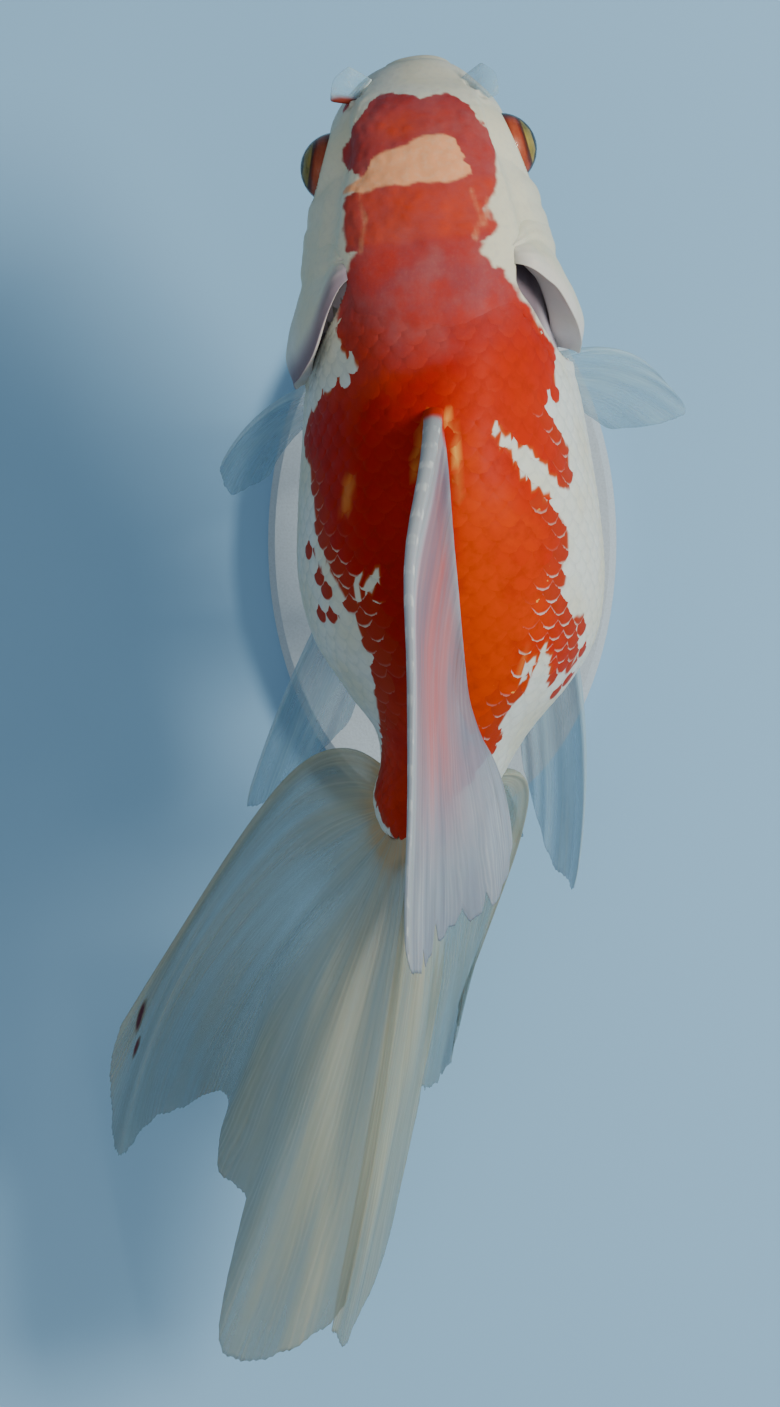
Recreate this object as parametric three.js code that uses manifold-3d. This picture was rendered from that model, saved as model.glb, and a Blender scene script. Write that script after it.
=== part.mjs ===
// A fancy goldfish of the long-finned, twin-tailed kind, life size, held still over a plain display stand.
// Millimetres, +Z up. The fish faces -Y and its left side is +X. The origin is the middle of the stand's underside.
//
// The fish is shaped in its own frame: x is to its left, y runs from the snout (0) to the tail and z is up from
// the body's axis. One turned group then lifts it over the stand, nose up. Every body section, fin ray and gill
// cover is a function of that frame, and the solids are standard geometries whose vertices those functions place.
import * as THREE from "three";
import { mergeVertices } from "three/addons/utils/BufferGeometryUtils.js";
import Module from "manifold-3d";

const wasm = await Module();
wasm.setup();

// ---------------------------------------------------------------- driving dimensions
const BODY_LENGTH = 120; // snout to the root of the tail
const HALF_WIDTH = 23; // at the widest, over the belly
const BACK_HEIGHT = 34; // above the axis, where the dorsal fin starts
const BELLY_DEPTH = 33; // below the axis
const PIVOT_Y = 69; // the point of the axis that stands over the origin
const AXIS_HEIGHT = 80; // of that point above the ground
const NOSE_UP = THREE.MathUtils.degToRad(5);

const HEAD_TURN = THREE.MathUtils.degToRad(5); // the head looks a little to the fish's right
const STALK_TURN = THREE.MathUtils.degToRad(16); // and the tail stalk swings to its left

const GAP = 0.3; // between pieces that meet
const EYE_RADIUS = 5.6;
const EYES = {
  left: { along: 16.5, out: 12.3, up: 6 },
  right: { along: 15.8, out: -11.8, up: 6 },
};
const COVER_THICKNESS = 1.4;
const FIN_TIP_THICKNESS = 0.6;

const BASE_HALF_LENGTH = 48;
const BASE_HALF_WIDTH = 30;
const BASE_THICKNESS = 7;
const BASE_BEVEL = 1.2;
const BASE_FACETS = 96;
const ROD_FACETS = 24;
const ROD_RADIUS = 1.6;
const ROD_STATIONS = { front: 53, rear: 84 }; // along the body

const BODY_AROUND = 30; // facets round the body
const BODY_ALONG = 36; // and along it
const HEAD_END = 43.5; // the cuts between head, shoulder, belly and tail stalk
const SHOULDER_END = 70;
const BELLY_END = 99;

// ---------------------------------------------------------------- body
// One row per section: distance from the snout, then half width, height above and depth below the axis as
// shares of the largest, then how far the spine lies to the fish's left.
const SECTIONS = [
  [0.7, 0.0, 0.0, 0.0, 5.0],
  [1.5, 0.18, 0.12, 0.1, 5.2],
  [4.4, 0.375, 0.26, 0.19, 5.6],
  [9.2, 0.54, 0.43, 0.29, 5.1],
  [15.5, 0.6, 0.59, 0.42, 4.6],
  [21.5, 0.7, 0.69, 0.54, 4.1],
  [28.0, 0.775, 0.76, 0.65, 3.6],
  [36.0, 0.82, 0.83, 0.77, 2.9],
  [46.0, 0.87, 0.915, 0.88, 1.8],
  [57.0, 0.93, 0.99, 0.96, 0.8],
  [68.0, 0.985, 1.0, 1.0, 0.2],
  [78.0, 1.0, 0.92, 0.96, -0.2],
  [87.0, 0.92, 0.79, 0.81, -0.7],
  [94.5, 0.72, 0.65, 0.6, -0.8],
  [101.0, 0.5, 0.52, 0.42, 0.0],
  [107.5, 0.39, 0.43, 0.33, 1.7],
  [113.5, 0.34, 0.37, 0.29, 4.1],
  [117.5, 0.2, 0.25, 0.22, 5.6],
  [BODY_LENGTH - 0.5, 0.0, 0.0, 0.0, 6.2],
];
const LAST = SECTIONS.length - 1;
const LARGEST = [1, HALF_WIDTH, BACK_HEIGHT, BELLY_DEPTH, 1];

const clamp01 = (t) => Math.min(1, Math.max(0, t));
const ease = (from, to, t) => THREE.MathUtils.smoothstep(t, from, to);
const power = (c, n) => Math.sign(c) * Math.abs(c) ** n;

function catmullRom(a, b, c, d, t) {
  const linear = (c - a) / 2;
  const square = a - 2.5 * b + 2 * c - d / 2;
  const cube = (d - a) / 2 + 1.5 * (b - c);
  return b + t * (linear + t * (square + t * cube));
}

// The section at a place between rows. Past either end the rows are mirrored, which rounds the snout and the stalk.
function section(place) {
  const row = (i) => {
    if (i >= 0 && i <= LAST) return SECTIONS[i];
    const [y, wide, top, under, side] = SECTIONS[i < 0 ? -i : 2 * LAST - i];
    return [y, -wide, -top, -under, side];
  };
  const i = Math.min(LAST - 1, Math.floor(place));
  const four = [row(i - 1), row(i), row(i + 1), row(i + 2)];
  const at = (k) => catmullRom(...four.map((r) => r[k]), place - i) * LARGEST[k];
  return { y: at(0), wide: Math.max(0, at(1)), top: Math.max(0, at(2)), under: Math.max(0, at(3)), side: at(4) };
}

// The place whose section lies a distance y from the snout.
function placeOf(y) {
  let low = 0;
  let high = LAST;
  for (let step = 0; step < 30; step++) {
    const middle = (low + high) / 2;
    if (section(middle).y < y) low = middle;
    else high = middle;
  }
  return low;
}

// How far a section is turned about the upright: positive sets its left side forward.
function turnAt(y) {
  return STALK_TURN * ease(96, 112, y) - HEAD_TURN * (1 - ease(38, 66, y));
}

// How far the flesh of the head stands out: the growth on its crown and the pad of the cheek.
function relief(y, angle) {
  const fromCrown = Math.abs(angle - Math.PI / 2);
  const crown = 1.3 * ease(4, 9, y) * (1 - ease(31, 40, y)) * (1 - ease(0.62, 0.86, fromCrown));
  const fromCheek = Math.min(Math.abs(angle + 0.15), Math.abs(angle - Math.PI - 0.15), Math.abs(angle + Math.PI - 0.15));
  const cheek = 0.9 * Math.exp(-(((y - 25) / 6) ** 2) - (fromCheek / 0.5) ** 2);
  return crown + cheek;
}

// A point of the body's surface, or grow above it. Angle 0 is the left side and a quarter turn is the back.
function bodyPoint(place, angle, grow = 0) {
  const at = section(place);
  const over = Math.sin(angle) >= 0;
  const squareHead = ease(4, 12, at.y) * (1 - ease(30, 52, at.y));
  const roundness = 2 / (over ? 2 + 0.5 * squareHead : 2.25);
  const out = grow + relief(at.y, angle);
  const lateral = (at.wide + out) * power(Math.cos(angle), roundness);
  const up = ((over ? at.top : at.under) + out) * power(Math.sin(angle), roundness);
  const turn = turnAt(at.y);
  return new THREE.Vector3(at.side + lateral * Math.cos(turn), at.y - lateral * Math.sin(turn), up);
}

// ---------------------------------------------------------------- solids
// A standard geometry whose vertices a function has placed, as a closed solid.
function solidOf(geometry, place) {
  const shaped = geometry.clone();
  shaped.deleteAttribute("normal");
  shaped.deleteAttribute("uv");
  const position = shaped.getAttribute("position");
  const point = new THREE.Vector3();
  for (let i = 0; i < position.count; i++) {
    const placed = place(point.fromBufferAttribute(position, i));
    position.setXYZ(i, placed.x, placed.y, placed.z);
  }
  const merged = mergeVertices(shaped, 1e-3);
  const vertProperties = merged.getAttribute("position").array;
  const triVerts = new Uint32Array(merged.index.array);
  const make = () => new wasm.Manifold(new wasm.Mesh({ numProp: 3, vertProperties, triVerts }));
  const made = make();
  if (made.volume() > 0) return made;
  triVerts.reverse(); // the placing turned it inside out
  return make();
}

const moved = (matrix) => (point) => point.clone().applyMatrix4(matrix);

function meshOf(name, solid, material) {
  const { vertProperties, triVerts } = solid.getMesh();
  const geometry = new THREE.BufferGeometry();
  geometry.setAttribute("position", new THREE.BufferAttribute(vertProperties, 3));
  geometry.setIndex(new THREE.BufferAttribute(triVerts, 1));
  geometry.computeVertexNormals();
  const mesh = new THREE.Mesh(geometry, material);
  mesh.name = name;
  return mesh;
}

// The whole body, or a copy grown by a gap for cutting its neighbours.
function bodySolid(grow = 0) {
  const ball = new THREE.SphereGeometry(1, BODY_AROUND, BODY_ALONG);
  return solidOf(ball, (p) => {
    const share = Math.acos(THREE.MathUtils.clamp(p.y, -1, 1)) / Math.PI;
    const place = share * LAST;
    const grown = grow * Math.min(1, 4 * place, 4 * (LAST - place));
    const shaped = bodyPoint(place, Math.atan2(p.z, p.x), grown);
    shaped.y += grow * (place < 0.5 ? -1 : place > LAST - 0.5 ? 1 : 0);
    return shaped;
  });
}

// The slab between two distances from the snout.
function slab(from, to) {
  const box = new THREE.BoxGeometry(160, to - from, 160);
  return solidOf(box, moved(new THREE.Matrix4().makeTranslation(0, (from + to) / 2, 0)));
}

// ---------------------------------------------------------------- fins
// A fin is a fan of key rays. Each is a cubic curve: root, two points that steer it, and tip.
function finPoint(rays, across, along) {
  const spread = clamp01(across) * (rays.length - 1);
  const i = Math.min(rays.length - 2, Math.floor(spread));
  const ray = (k) => rays[Math.min(rays.length - 1, Math.max(0, k))];
  const steer = [0, 1, 2, 3].map((k) =>
    [0, 1, 2].map((axis) =>
      catmullRom(ray(i - 1)[k][axis], ray(i)[k][axis], ray(i + 1)[k][axis], ray(i + 2)[k][axis], spread - i),
    ),
  );
  const [a, b, c, d] = steer.map((xyz) => new THREE.Vector3(...xyz));
  return new THREE.CubicBezierCurve3(a, b, c, d).getPoint(clamp01(along));
}

function finNormal(rays, across, along) {
  const step = 0.01;
  const [a0, a1] = [Math.max(0, across - step), Math.min(1, across + step)];
  const [v0, v1] = [Math.max(0.01, along - step), Math.min(1, along + step)];
  const sideways = finPoint(rays, a1, along).sub(finPoint(rays, a0, along));
  const outward = finPoint(rays, across, v1).sub(finPoint(rays, across, v0));
  return sideways.cross(outward).normalize();
}

// The solid of a fin between two rays, thick at its root and thin at its edge. trim is taken off each cut side,
// and grow is added to both faces.
function finSolid(rays, { root, segments, from = 0, to = 1, trim = [0, 0], grow = 0 }) {
  const sheet = new THREE.BoxGeometry(1, 1, 1, segments[0], segments[1], 1);
  return solidOf(sheet, (p) => {
    const along = p.y + 0.5;
    const width = finPoint(rays, to, along).distanceTo(finPoint(rays, from, along));
    const [low, high] = [from + ((to - from) * trim[0]) / width, to - ((to - from) * trim[1]) / width];
    const across = low + (high - low) * (p.x + 0.5);
    const half = THREE.MathUtils.lerp(root, FIN_TIP_THICKNESS, Math.sqrt(along)) / 2 + grow;
    return finPoint(rays, across, along).addScaledVector(finNormal(rays, across, along), 2 * p.z * half);
  });
}

// The first ray of each fan is its leading or upper one.
const DORSAL_RAYS = [
  [[3.0, 52, 31], [3.6, 58, 57], [8.4, 104, 59], [6.8, 132, 38]],
  [[1.4, 61, 31], [4.4, 73, 56], [5.6, 107, 54], [4.6, 132.5, 34]],
  [[0.0, 74, 29], [4.6, 84, 50], [1.2, 108, 47], [1.0, 128, 30]],
  [[-0.8, 85, 25], [2, 93, 39], [-3.2, 109, 38.5], [-4, 125.5, 25]],
  [[-1.0, 93, 20.5], [-2.6, 98, 28], [-7, 109, 29], [-7.5, 122, 19]],
  [[-0.6, 99, 16.5], [-5.4, 100.5, 20.5], [-8.6, 107.5, 21], [-9.4, 118, 16]],
];
const LEFT_TAIL_RAYS = [
  [[5.6, 115, 9.4], [4.8, 131, 9.2], [10.4, 168, -3.6], [17.4, 199, -17]],
  [[7.2, 117, 6], [14, 134, 4.6], [24, 172, -9], [36, 203, -25]],
  [[8.2, 117, 2], [18, 130, -1], [29, 149, -12], [36, 165, -23.5]],
  [[9.0, 115, -2], [21, 121, -6], [41, 143, -26], [46.5, 168.5, -37]],
  [[9.2, 113, -5], [21, 106, -8], [46, 136, -26], [54, 175, -38]],
  [[8.0, 110, -7], [21, 90, -9], [39.5, 130, -26], [55.3, 157, -33]],
];
const RIGHT_TAIL_RAYS = [
  [[5.2, 115, 8], [6.4, 131, 5.5], [13.4, 168, -8.5], [19.4, 199, -23]],
  [[4.0, 117, 5], [3.5, 134, 1], [9, 172, -17], [14.6, 203, -33]],
  [[3.0, 117, 1.5], [0.5, 131, -5], [2.5, 148, -23], [5.2, 167, -36]],
  [[1.6, 116, -2], [-4, 122, -8], [-4, 142, -32], [1.5, 165, -41]],
  [[0.6, 115, -5], [-13, 108, -9], [-7, 128, -30], [-0.6, 159, -40]],
  [[0.2, 112, -7], [-21, 98, -8], [-10.5, 122, -25], [-2.6, 151, -36]],
];
const LOBE_SPLIT = 0.42; // share of the fan that is the upper lobe
const LEFT_PECTORAL_RAYS = [
  [[17, 48, -10], [24, 49.5, -12], [31.5, 53.5, -15], [35.5, 61.5, -20]],
  [[17.5, 50, -13], [23.5, 52.5, -17], [31, 58, -22], [34.3, 66, -28]],
  [[16.5, 51, -16], [21, 53.5, -20], [26, 58, -26], [28.5, 64, -32]],
];
const RIGHT_PECTORAL_RAYS = [
  [[-15.5, 45, -11], [-21, 42.5, -11], [-27, 42.5, -13], [-31, 46, -14]],
  [[-15.5, 47, -13], [-22, 46.5, -13], [-30, 48, -15], [-36.5, 53.5, -16]],
  [[-15, 49.5, -15], [-19, 51.5, -16], [-22, 54, -18], [-25, 56, -19]],
];
const LEFT_PELVIC_RAYS = [
  [[9, 67, -28], [16, 76, -42], [27, 98, -50], [33, 119, -47]],
  [[7.5, 71, -29], [12, 82, -45], [21, 100, -54], [27, 116, -54]],
  [[6, 75, -29], [8, 84, -42], [13, 96, -50], [16, 105, -52]],
];
const RIGHT_PELVIC_RAYS = [
  [[-9, 67, -28], [-21, 76, -41], [-27, 106, -49], [-21.5, 134, -50]],
  [[-7.5, 71, -29], [-14, 83, -45], [-19, 108, -55], [-17.5, 127, -56]],
  [[-6, 75, -29], [-8, 85, -42], [-12, 100, -52], [-13, 112, -55]],
];
const LEFT_ANAL_RAYS = [
  [[2.8, 91, -19], [6, 97, -34], [9, 112, -44], [11, 124, -46]],
  [[2.8, 95, -16], [5, 103, -27], [9, 114, -36], [12, 122, -40]],
  [[3.2, 99, -12], [5, 105, -19], [8, 111, -25], [10, 116, -29]],
];
const mirrored = (rays) => rays.map((ray) => ray.map(([x, y, z]) => [-x - 0.8, y, z]));
const LEFT_FLAP_RAYS = [
  [[11.7, 4.6, 6.2], [12.8, 4.0, 7.2], [14.0, 3.4, 7.9], [15.1, 2.9, 8.1]],
  [[12.9, 6.2, 6.4], [14.4, 5.8, 8.0], [15.9, 5.2, 8.8], [17.3, 4.9, 8.7]],
  [[13.6, 8.2, 6.4], [14.9, 8.3, 7.5], [16.4, 8.3, 8.1], [17.8, 7.9, 8.0]],
];
const RIGHT_FLAP_RAYS = LEFT_FLAP_RAYS.map((ray) =>
  ray.map(([x, y, z]) => [10 - 0.95 * x, y - 0.17 * (x - 4.6) + 1.2, z]),
);

// ---------------------------------------------------------------- gill covers
// A leaf-shaped plate from behind the eye to a free edge that stands off the body and bends back in at its rim.
// bottom and top are its span round the body, as angles, and front is where it starts.
const COVER = { front: 23.5, frontSweep: 6, bottom: -1.15, top: 1.0 };
// Its free edge: the angle up from the side, and the distance from the snout.
const COVER_EDGE = {
  left: [[-1.15, 33.5], [-0.8, 42.5], [-0.3, 47.2], [0.1, 48.2], [0.46, 46.6], [0.67, 43.2], [0.8, 38.8], [1.0, 33.5]],
  right: [[-1.15, 33.5], [-0.8, 41], [-0.3, 45], [0.05, 45.7], [0.3, 44], [0.46, 41], [0.64, 37.3], [1.0, 33.5]],
};
const COVER_FLARE = { left: 3, right: 2.9 };

function coverRear(side, angle) {
  const line = COVER_EDGE[side];
  const i = Math.max(1, line.findIndex(([up]) => up >= Math.min(angle, COVER.top)));
  const [[low, from], [high, to]] = [line[i - 1], line[i]];
  return THREE.MathUtils.lerp(from, to, clamp01((angle - low) / (high - low)));
}

function coverPoint(side, back, round, depth, grow = 0) {
  const fromMiddle = Math.abs(2 * round - 1);
  const angle = THREE.MathUtils.lerp(COVER.bottom - grow / 18, COVER.top + grow / 18, round);
  const front = COVER.front + COVER.frontSweep * fromMiddle ** 3 - grow;
  const rear = coverRear(side, angle) + grow;
  const y = THREE.MathUtils.lerp(front, rear, back);
  const flare = ease(0.2, 0.8, back) * (1 - 0.7 * ease(0.78, 1.1, back));
  const outer = 0.2 + COVER_FLARE[side] * flare * (1 - fromMiddle ** 3) + grow;
  const inner = outer - COVER_THICKNESS - 2 * grow;
  const height = THREE.MathUtils.lerp(inner, outer, depth);
  return bodyPoint(placeOf(y), side === "left" ? angle : Math.PI - angle, height);
}

function coverSolid(side, grow = 0) {
  const plate = new THREE.BoxGeometry(1, 1, 1, 6, 8, 1);
  return solidOf(plate, (p) => coverPoint(side, p.x + 0.5, p.y + 0.5, p.z + 0.5, grow));
}

// ---------------------------------------------------------------- eyes and lips
// A point beside the head: out from the spine, along the body, up from the axis.
function besideHead(out, along, up) {
  const turn = turnAt(along);
  const { side } = section(placeOf(along));
  return new THREE.Vector3(side + out * Math.cos(turn), along - out * Math.sin(turn), up);
}

function eyeSolid({ out, along, up }, grow = 0) {
  const centre = besideHead(out, along, up);
  const ball = new THREE.SphereGeometry(EYE_RADIUS + grow, 14, 9);
  return solidOf(ball, moved(new THREE.Matrix4().makeTranslation(centre.x, centre.y, centre.z)));
}

// A lip is a short bar bent round the snout.
function lipSolid({ half, back, up, thick }, grow = 0) {
  const bar = new THREE.SphereGeometry(1, 12, 7);
  const { side } = section(0);
  return solidOf(bar, (p) => {
    const x = p.x * (half + grow);
    return new THREE.Vector3(side + x, back + p.y * (thick + grow) + 0.075 * x * x, up + p.z * (thick + grow));
  });
}
const UPPER_LIP = { half: 5.4, back: 1.6, up: 1.2, thick: 1.6 };
const LOWER_LIP = { half: 4.8, back: 2.0, up: -2.3, thick: 1.6 };

// ---------------------------------------------------------------- materials
const finish = (color, roughness, metalness = 0) => new THREE.MeshStandardMaterial({ color, roughness, metalness });
const RED_SKIN = finish(0xd8431c, 0.4);
const PALE_SKIN = finish(0xf1ebdc, 0.4);
const FIN_SKIN = finish(0xe6e6e0, 0.45);
const EYE_SHELL = finish(0xa8501c, 0.12);
const STAND_PAINT = finish(0xe9e7e2, 0.55);
const ROD_STEEL = finish(0xc4c6c8, 0.3, 1);

// ---------------------------------------------------------------- the fish
const body = bodySolid();
const bodyGrown = bodySolid(GAP);
const covers = {};
const coversGrown = {};
const eyes = {};
const lips = { upper_lip: UPPER_LIP, lower_lip: LOWER_LIP };
let head = body.intersect(slab(-10, HEAD_END - GAP / 2));
let shoulder = body.intersect(slab(HEAD_END + GAP / 2, SHOULDER_END - GAP / 2));
for (const [side, eye] of Object.entries(EYES)) {
  covers[side] = coverSolid(side);
  coversGrown[side] = coverSolid(side, GAP);
  eyes[side] = eyeSolid(eye);
  head = head.subtract(coversGrown[side]).subtract(eyeSolid(eye, GAP));
  shoulder = shoulder.subtract(coversGrown[side]);
}
for (const lip of Object.values(lips)) head = head.subtract(lipSolid(lip, GAP));

const fish = new THREE.Group();
fish.name = "fish";
fish.add(meshOf("head", head, RED_SKIN));
fish.add(meshOf("shoulder", shoulder, RED_SKIN));
fish.add(meshOf("belly", body.intersect(slab(SHOULDER_END + GAP / 2, BELLY_END - GAP / 2)), RED_SKIN));
fish.add(meshOf("tail_stalk", body.intersect(slab(BELLY_END + GAP / 2, BODY_LENGTH + 10)), RED_SKIN));
for (const [name, lip] of Object.entries(lips)) fish.add(meshOf(name, lipSolid(lip), PALE_SKIN));
for (const side of Object.keys(EYES)) {
  fish.add(meshOf(`gill_cover_${side}`, covers[side], PALE_SKIN));
  fish.add(meshOf(`eye_${side}`, eyes[side], EYE_SHELL));
}

// A fin stops a gap short of the body, the gill covers and any fin it is told to clear.
function addFin(name, rays, options, cleared = []) {
  let fin = finSolid(rays, options);
  for (const neighbour of [bodyGrown, ...Object.values(coversGrown), ...cleared]) fin = fin.subtract(neighbour);
  fish.add(meshOf(name, fin, FIN_SKIN));
}
addFin("dorsal_fin", DORSAL_RAYS, { root: 2.6, segments: [11, 9] });
const upperLobe = { root: 2.2, segments: [6, 10], to: LOBE_SPLIT, trim: [0, GAP / 2] };
const lowerLobe = { root: 2.2, segments: [7, 10], from: LOBE_SPLIT, trim: [GAP / 2, 0] };
const leftCrest = finSolid(LEFT_TAIL_RAYS, { ...upperLobe, grow: GAP });
addFin("tail_upper_left", LEFT_TAIL_RAYS, upperLobe);
addFin("tail_lower_left", LEFT_TAIL_RAYS, lowerLobe);
addFin("tail_upper_right", RIGHT_TAIL_RAYS, upperLobe, [leftCrest]);
addFin("tail_lower_right", RIGHT_TAIL_RAYS, lowerLobe);
addFin("pectoral_fin_left", LEFT_PECTORAL_RAYS, { root: 1.6, segments: [5, 6] });
addFin("pectoral_fin_right", RIGHT_PECTORAL_RAYS, { root: 1.6, segments: [5, 6] });
addFin("pelvic_fin_left", LEFT_PELVIC_RAYS, { root: 1.8, segments: [5, 8] });
addFin("pelvic_fin_right", RIGHT_PELVIC_RAYS, { root: 1.8, segments: [5, 8] });
addFin("anal_fin_left", LEFT_ANAL_RAYS, { root: 1.4, segments: [3, 6] });
addFin("anal_fin_right", mirrored(LEFT_ANAL_RAYS), { root: 1.4, segments: [3, 6] });
addFin("nostril_flap_left", LEFT_FLAP_RAYS, { root: 0.9, segments: [3, 3] });
addFin("nostril_flap_right", RIGHT_FLAP_RAYS, { root: 0.9, segments: [3, 3] });

fish.rotation.x = -NOSE_UP;
fish.position.set(0, -PIVOT_Y, 0).applyEuler(fish.rotation);
fish.position.z += AXIS_HEIGHT;
fish.updateMatrixWorld(true);

// ---------------------------------------------------------------- the stand
const outline = [
  [0, 0],
  [1 - BASE_BEVEL / 2 / BASE_HALF_WIDTH, 0],
  [1, BASE_BEVEL / 2],
  [1, BASE_THICKNESS - BASE_BEVEL],
  [1 - BASE_BEVEL / BASE_HALF_WIDTH, BASE_THICKNESS],
  [0, BASE_THICKNESS],
].map(([r, z]) => new THREE.Vector2(r, z));
let base = solidOf(
  new THREE.LatheGeometry(outline, BASE_FACETS),
  (p) => new THREE.Vector3(p.x * BASE_HALF_WIDTH, p.z * BASE_HALF_LENGTH, p.y),
);

const bodyInPlace = bodyGrown.transform(fish.matrixWorld.elements);
const object = new THREE.Group();
object.add(fish);
for (const [end, along] of Object.entries(ROD_STATIONS)) {
  const foot = new THREE.Vector3(section(placeOf(along)).side, along, -BELLY_DEPTH).applyMatrix4(fish.matrixWorld);
  const [low, high] = [BASE_THICKNESS / 3, AXIS_HEIGHT - BELLY_DEPTH / 2];
  const bar = (grow) =>
    solidOf(new THREE.CylinderGeometry(ROD_RADIUS + grow, ROD_RADIUS + grow, high - low + 2 * grow, ROD_FACETS), (p) =>
      new THREE.Vector3(foot.x + p.x, foot.y - p.z, (low + high) / 2 + p.y),
    );
  base = base.subtract(bar(GAP));
  object.add(meshOf(`stand_rod_${end}`, bar(0).subtract(bodyInPlace), ROD_STEEL));
}
object.add(meshOf("stand_base", base, STAND_PAINT));

export default object;
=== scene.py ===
"""A long-finned, twin-tailed goldfish, finished as a still model on its display stand.

The fish is shaped in its own frame, in millimetres: x is to its left, y runs from the snout to the tail and
z is up from the body's axis. to_world() turns that frame nose up and sets it over the stand, in metres.
"""

import math
import random

import bmesh
import bpy
import numpy as np
from mathutils import Color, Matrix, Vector, noise


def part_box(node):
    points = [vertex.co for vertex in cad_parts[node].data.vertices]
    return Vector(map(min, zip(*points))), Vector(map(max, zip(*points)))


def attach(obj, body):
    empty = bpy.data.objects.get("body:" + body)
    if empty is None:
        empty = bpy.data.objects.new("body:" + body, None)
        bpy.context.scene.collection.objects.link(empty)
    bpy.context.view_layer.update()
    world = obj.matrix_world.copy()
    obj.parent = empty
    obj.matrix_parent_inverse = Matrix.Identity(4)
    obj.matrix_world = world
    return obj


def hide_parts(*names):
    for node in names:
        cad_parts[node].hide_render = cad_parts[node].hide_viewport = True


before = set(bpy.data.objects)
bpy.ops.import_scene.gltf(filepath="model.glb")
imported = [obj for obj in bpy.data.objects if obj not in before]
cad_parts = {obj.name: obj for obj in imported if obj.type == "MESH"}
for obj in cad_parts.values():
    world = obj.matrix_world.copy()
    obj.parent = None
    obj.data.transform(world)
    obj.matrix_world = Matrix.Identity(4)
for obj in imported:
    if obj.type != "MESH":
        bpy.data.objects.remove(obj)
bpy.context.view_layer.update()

bl_info = {
    "name": "Long-finned Goldfish",
    "version": (1, 0, 0),
    "blender": (4, 5, 0),
    "location": "3D View > Sidebar > Goldfish",
    "description": "Skin, scales, eyes and fins of a display goldfish",
    "category": "Object",
}

# ---------------------------------------------------------------- the fish's frame
BASE_LENGTH = 96.0
MM = (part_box("stand_base")[1].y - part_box("stand_base")[0].y) / BASE_LENGTH
PIVOT_Y = 69.0
AXIS_HEIGHT = 80.0
NOSE_UP = math.radians(5)
HEAD_TURN = math.radians(5)
STALK_TURN = math.radians(16)
EYE_ALONG, EYE_OUT, EYE_UP = 15.6, 12.4, 6.0
SCALE_DEPTH = 0.4  # of the coat of scales, which the skin lies under
CAMERA_HEIGHT = 500.0  # above the body's axis
CAMERA_AIM = (9.0, 96.9)  # the point of the fish's axis plane under the camera
VIEW_HEIGHT = 211.05  # what the view takes in at the axis
CROWN_GROWTH = 1.3  # how far it stands out from the head
CHEEK_PAD = 0.9

# Distance from the snout, then half width, height and depth as shares of the largest, then the spine's shift
# to the side.
LARGEST = (1.0, 23.0, 34.0, 33.0, 1.0)
SECTIONS = (
    (0.7, 0.0, 0.0, 0.0, 5.0),
    (1.5, 0.18, 0.12, 0.1, 5.2),
    (4.4, 0.375, 0.26, 0.19, 5.6),
    (9.2, 0.54, 0.43, 0.29, 5.1),
    (15.5, 0.6, 0.59, 0.42, 4.6),
    (21.5, 0.7, 0.69, 0.54, 4.1),
    (28.0, 0.775, 0.76, 0.65, 3.6),
    (36.0, 0.82, 0.83, 0.77, 2.9),
    (46.0, 0.87, 0.915, 0.88, 1.8),
    (57.0, 0.93, 0.99, 0.96, 0.8),
    (68.0, 0.985, 1.0, 1.0, 0.2),
    (78.0, 1.0, 0.92, 0.96, -0.2),
    (87.0, 0.92, 0.79, 0.81, -0.7),
    (94.5, 0.72, 0.65, 0.6, -0.8),
    (101.0, 0.5, 0.52, 0.42, 0.0),
    (107.5, 0.39, 0.43, 0.33, 1.7),
    (113.5, 0.34, 0.37, 0.29, 4.1),
    (117.5, 0.2, 0.25, 0.22, 5.6),
    (119.5, 0.0, 0.0, 0.0, 6.2),
)
LAST = len(SECTIONS) - 1


def smooth(low, high, t):
    """0 below low, 1 above high, and an even S between."""
    s = np.clip((np.asarray(t, float) - low) / (high - low), 0, 1)
    return s * s * (3 - 2 * s)


def fade(low, high, t):
    """1 below low, 0 above high, and an even S between."""
    return 1 - smooth(low, high, t)


def bump(t, middle, width):
    """1 at the middle, falling away over the width."""
    return np.exp(-(((np.asarray(t, float) - middle) / width) ** 2))


def catmull_rom(a, b, c, d, t):
    """A share t of the way from b to c along a smooth curve that comes from a and goes on to d."""
    return b + t * ((c - a) / 2 + t * ((a - 2.5 * b + 2 * c - d / 2) + t * ((d - a) / 2 + 1.5 * (b - c))))


def section_table(steps=3000):
    """The sections at even places along the rows. The rows are mirrored past both ends, which rounds them."""
    rows = [list(r) for r in SECTIONS]
    flip = np.array([1, -1, -1, -1, 1])
    rows = np.array([np.array(rows[1]) * flip, *rows, np.array(rows[-2]) * flip])
    place = np.linspace(0, LAST, steps)
    at = np.minimum(place.astype(int), LAST - 1)
    t = (place - at)[:, None]
    table = catmull_rom(rows[at], rows[at + 1], rows[at + 2], rows[at + 3], t) * np.array(LARGEST)
    table[:, 1:4] = np.maximum(table[:, 1:4], 0)
    return place, table


PLACES, TABLE = section_table()


def section(place):
    """Distance from the snout, half width, height, depth and side shift at a place along the rows."""
    return [np.interp(place, PLACES, TABLE[:, k]) for k in range(5)]


def place_of(y):
    """The place along the rows for a distance from the snout."""
    return np.interp(y, TABLE[:, 0], PLACES)


def turn_at(y):
    """How far a section is turned about the upright: positive sets its left side forward."""
    return STALK_TURN * smooth(96, 112, y) - HEAD_TURN * fade(38, 66, y)


def side_angle(angle):
    """The angle up from the nearer side, whichever side it is."""
    return np.arctan2(np.sin(angle), np.abs(np.cos(angle)))


def squareness(y):
    """How boxy a section is: 1 in the head, fading into the rounder body."""
    return smooth(4, 12, y) * fade(30, 52, y)


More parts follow.
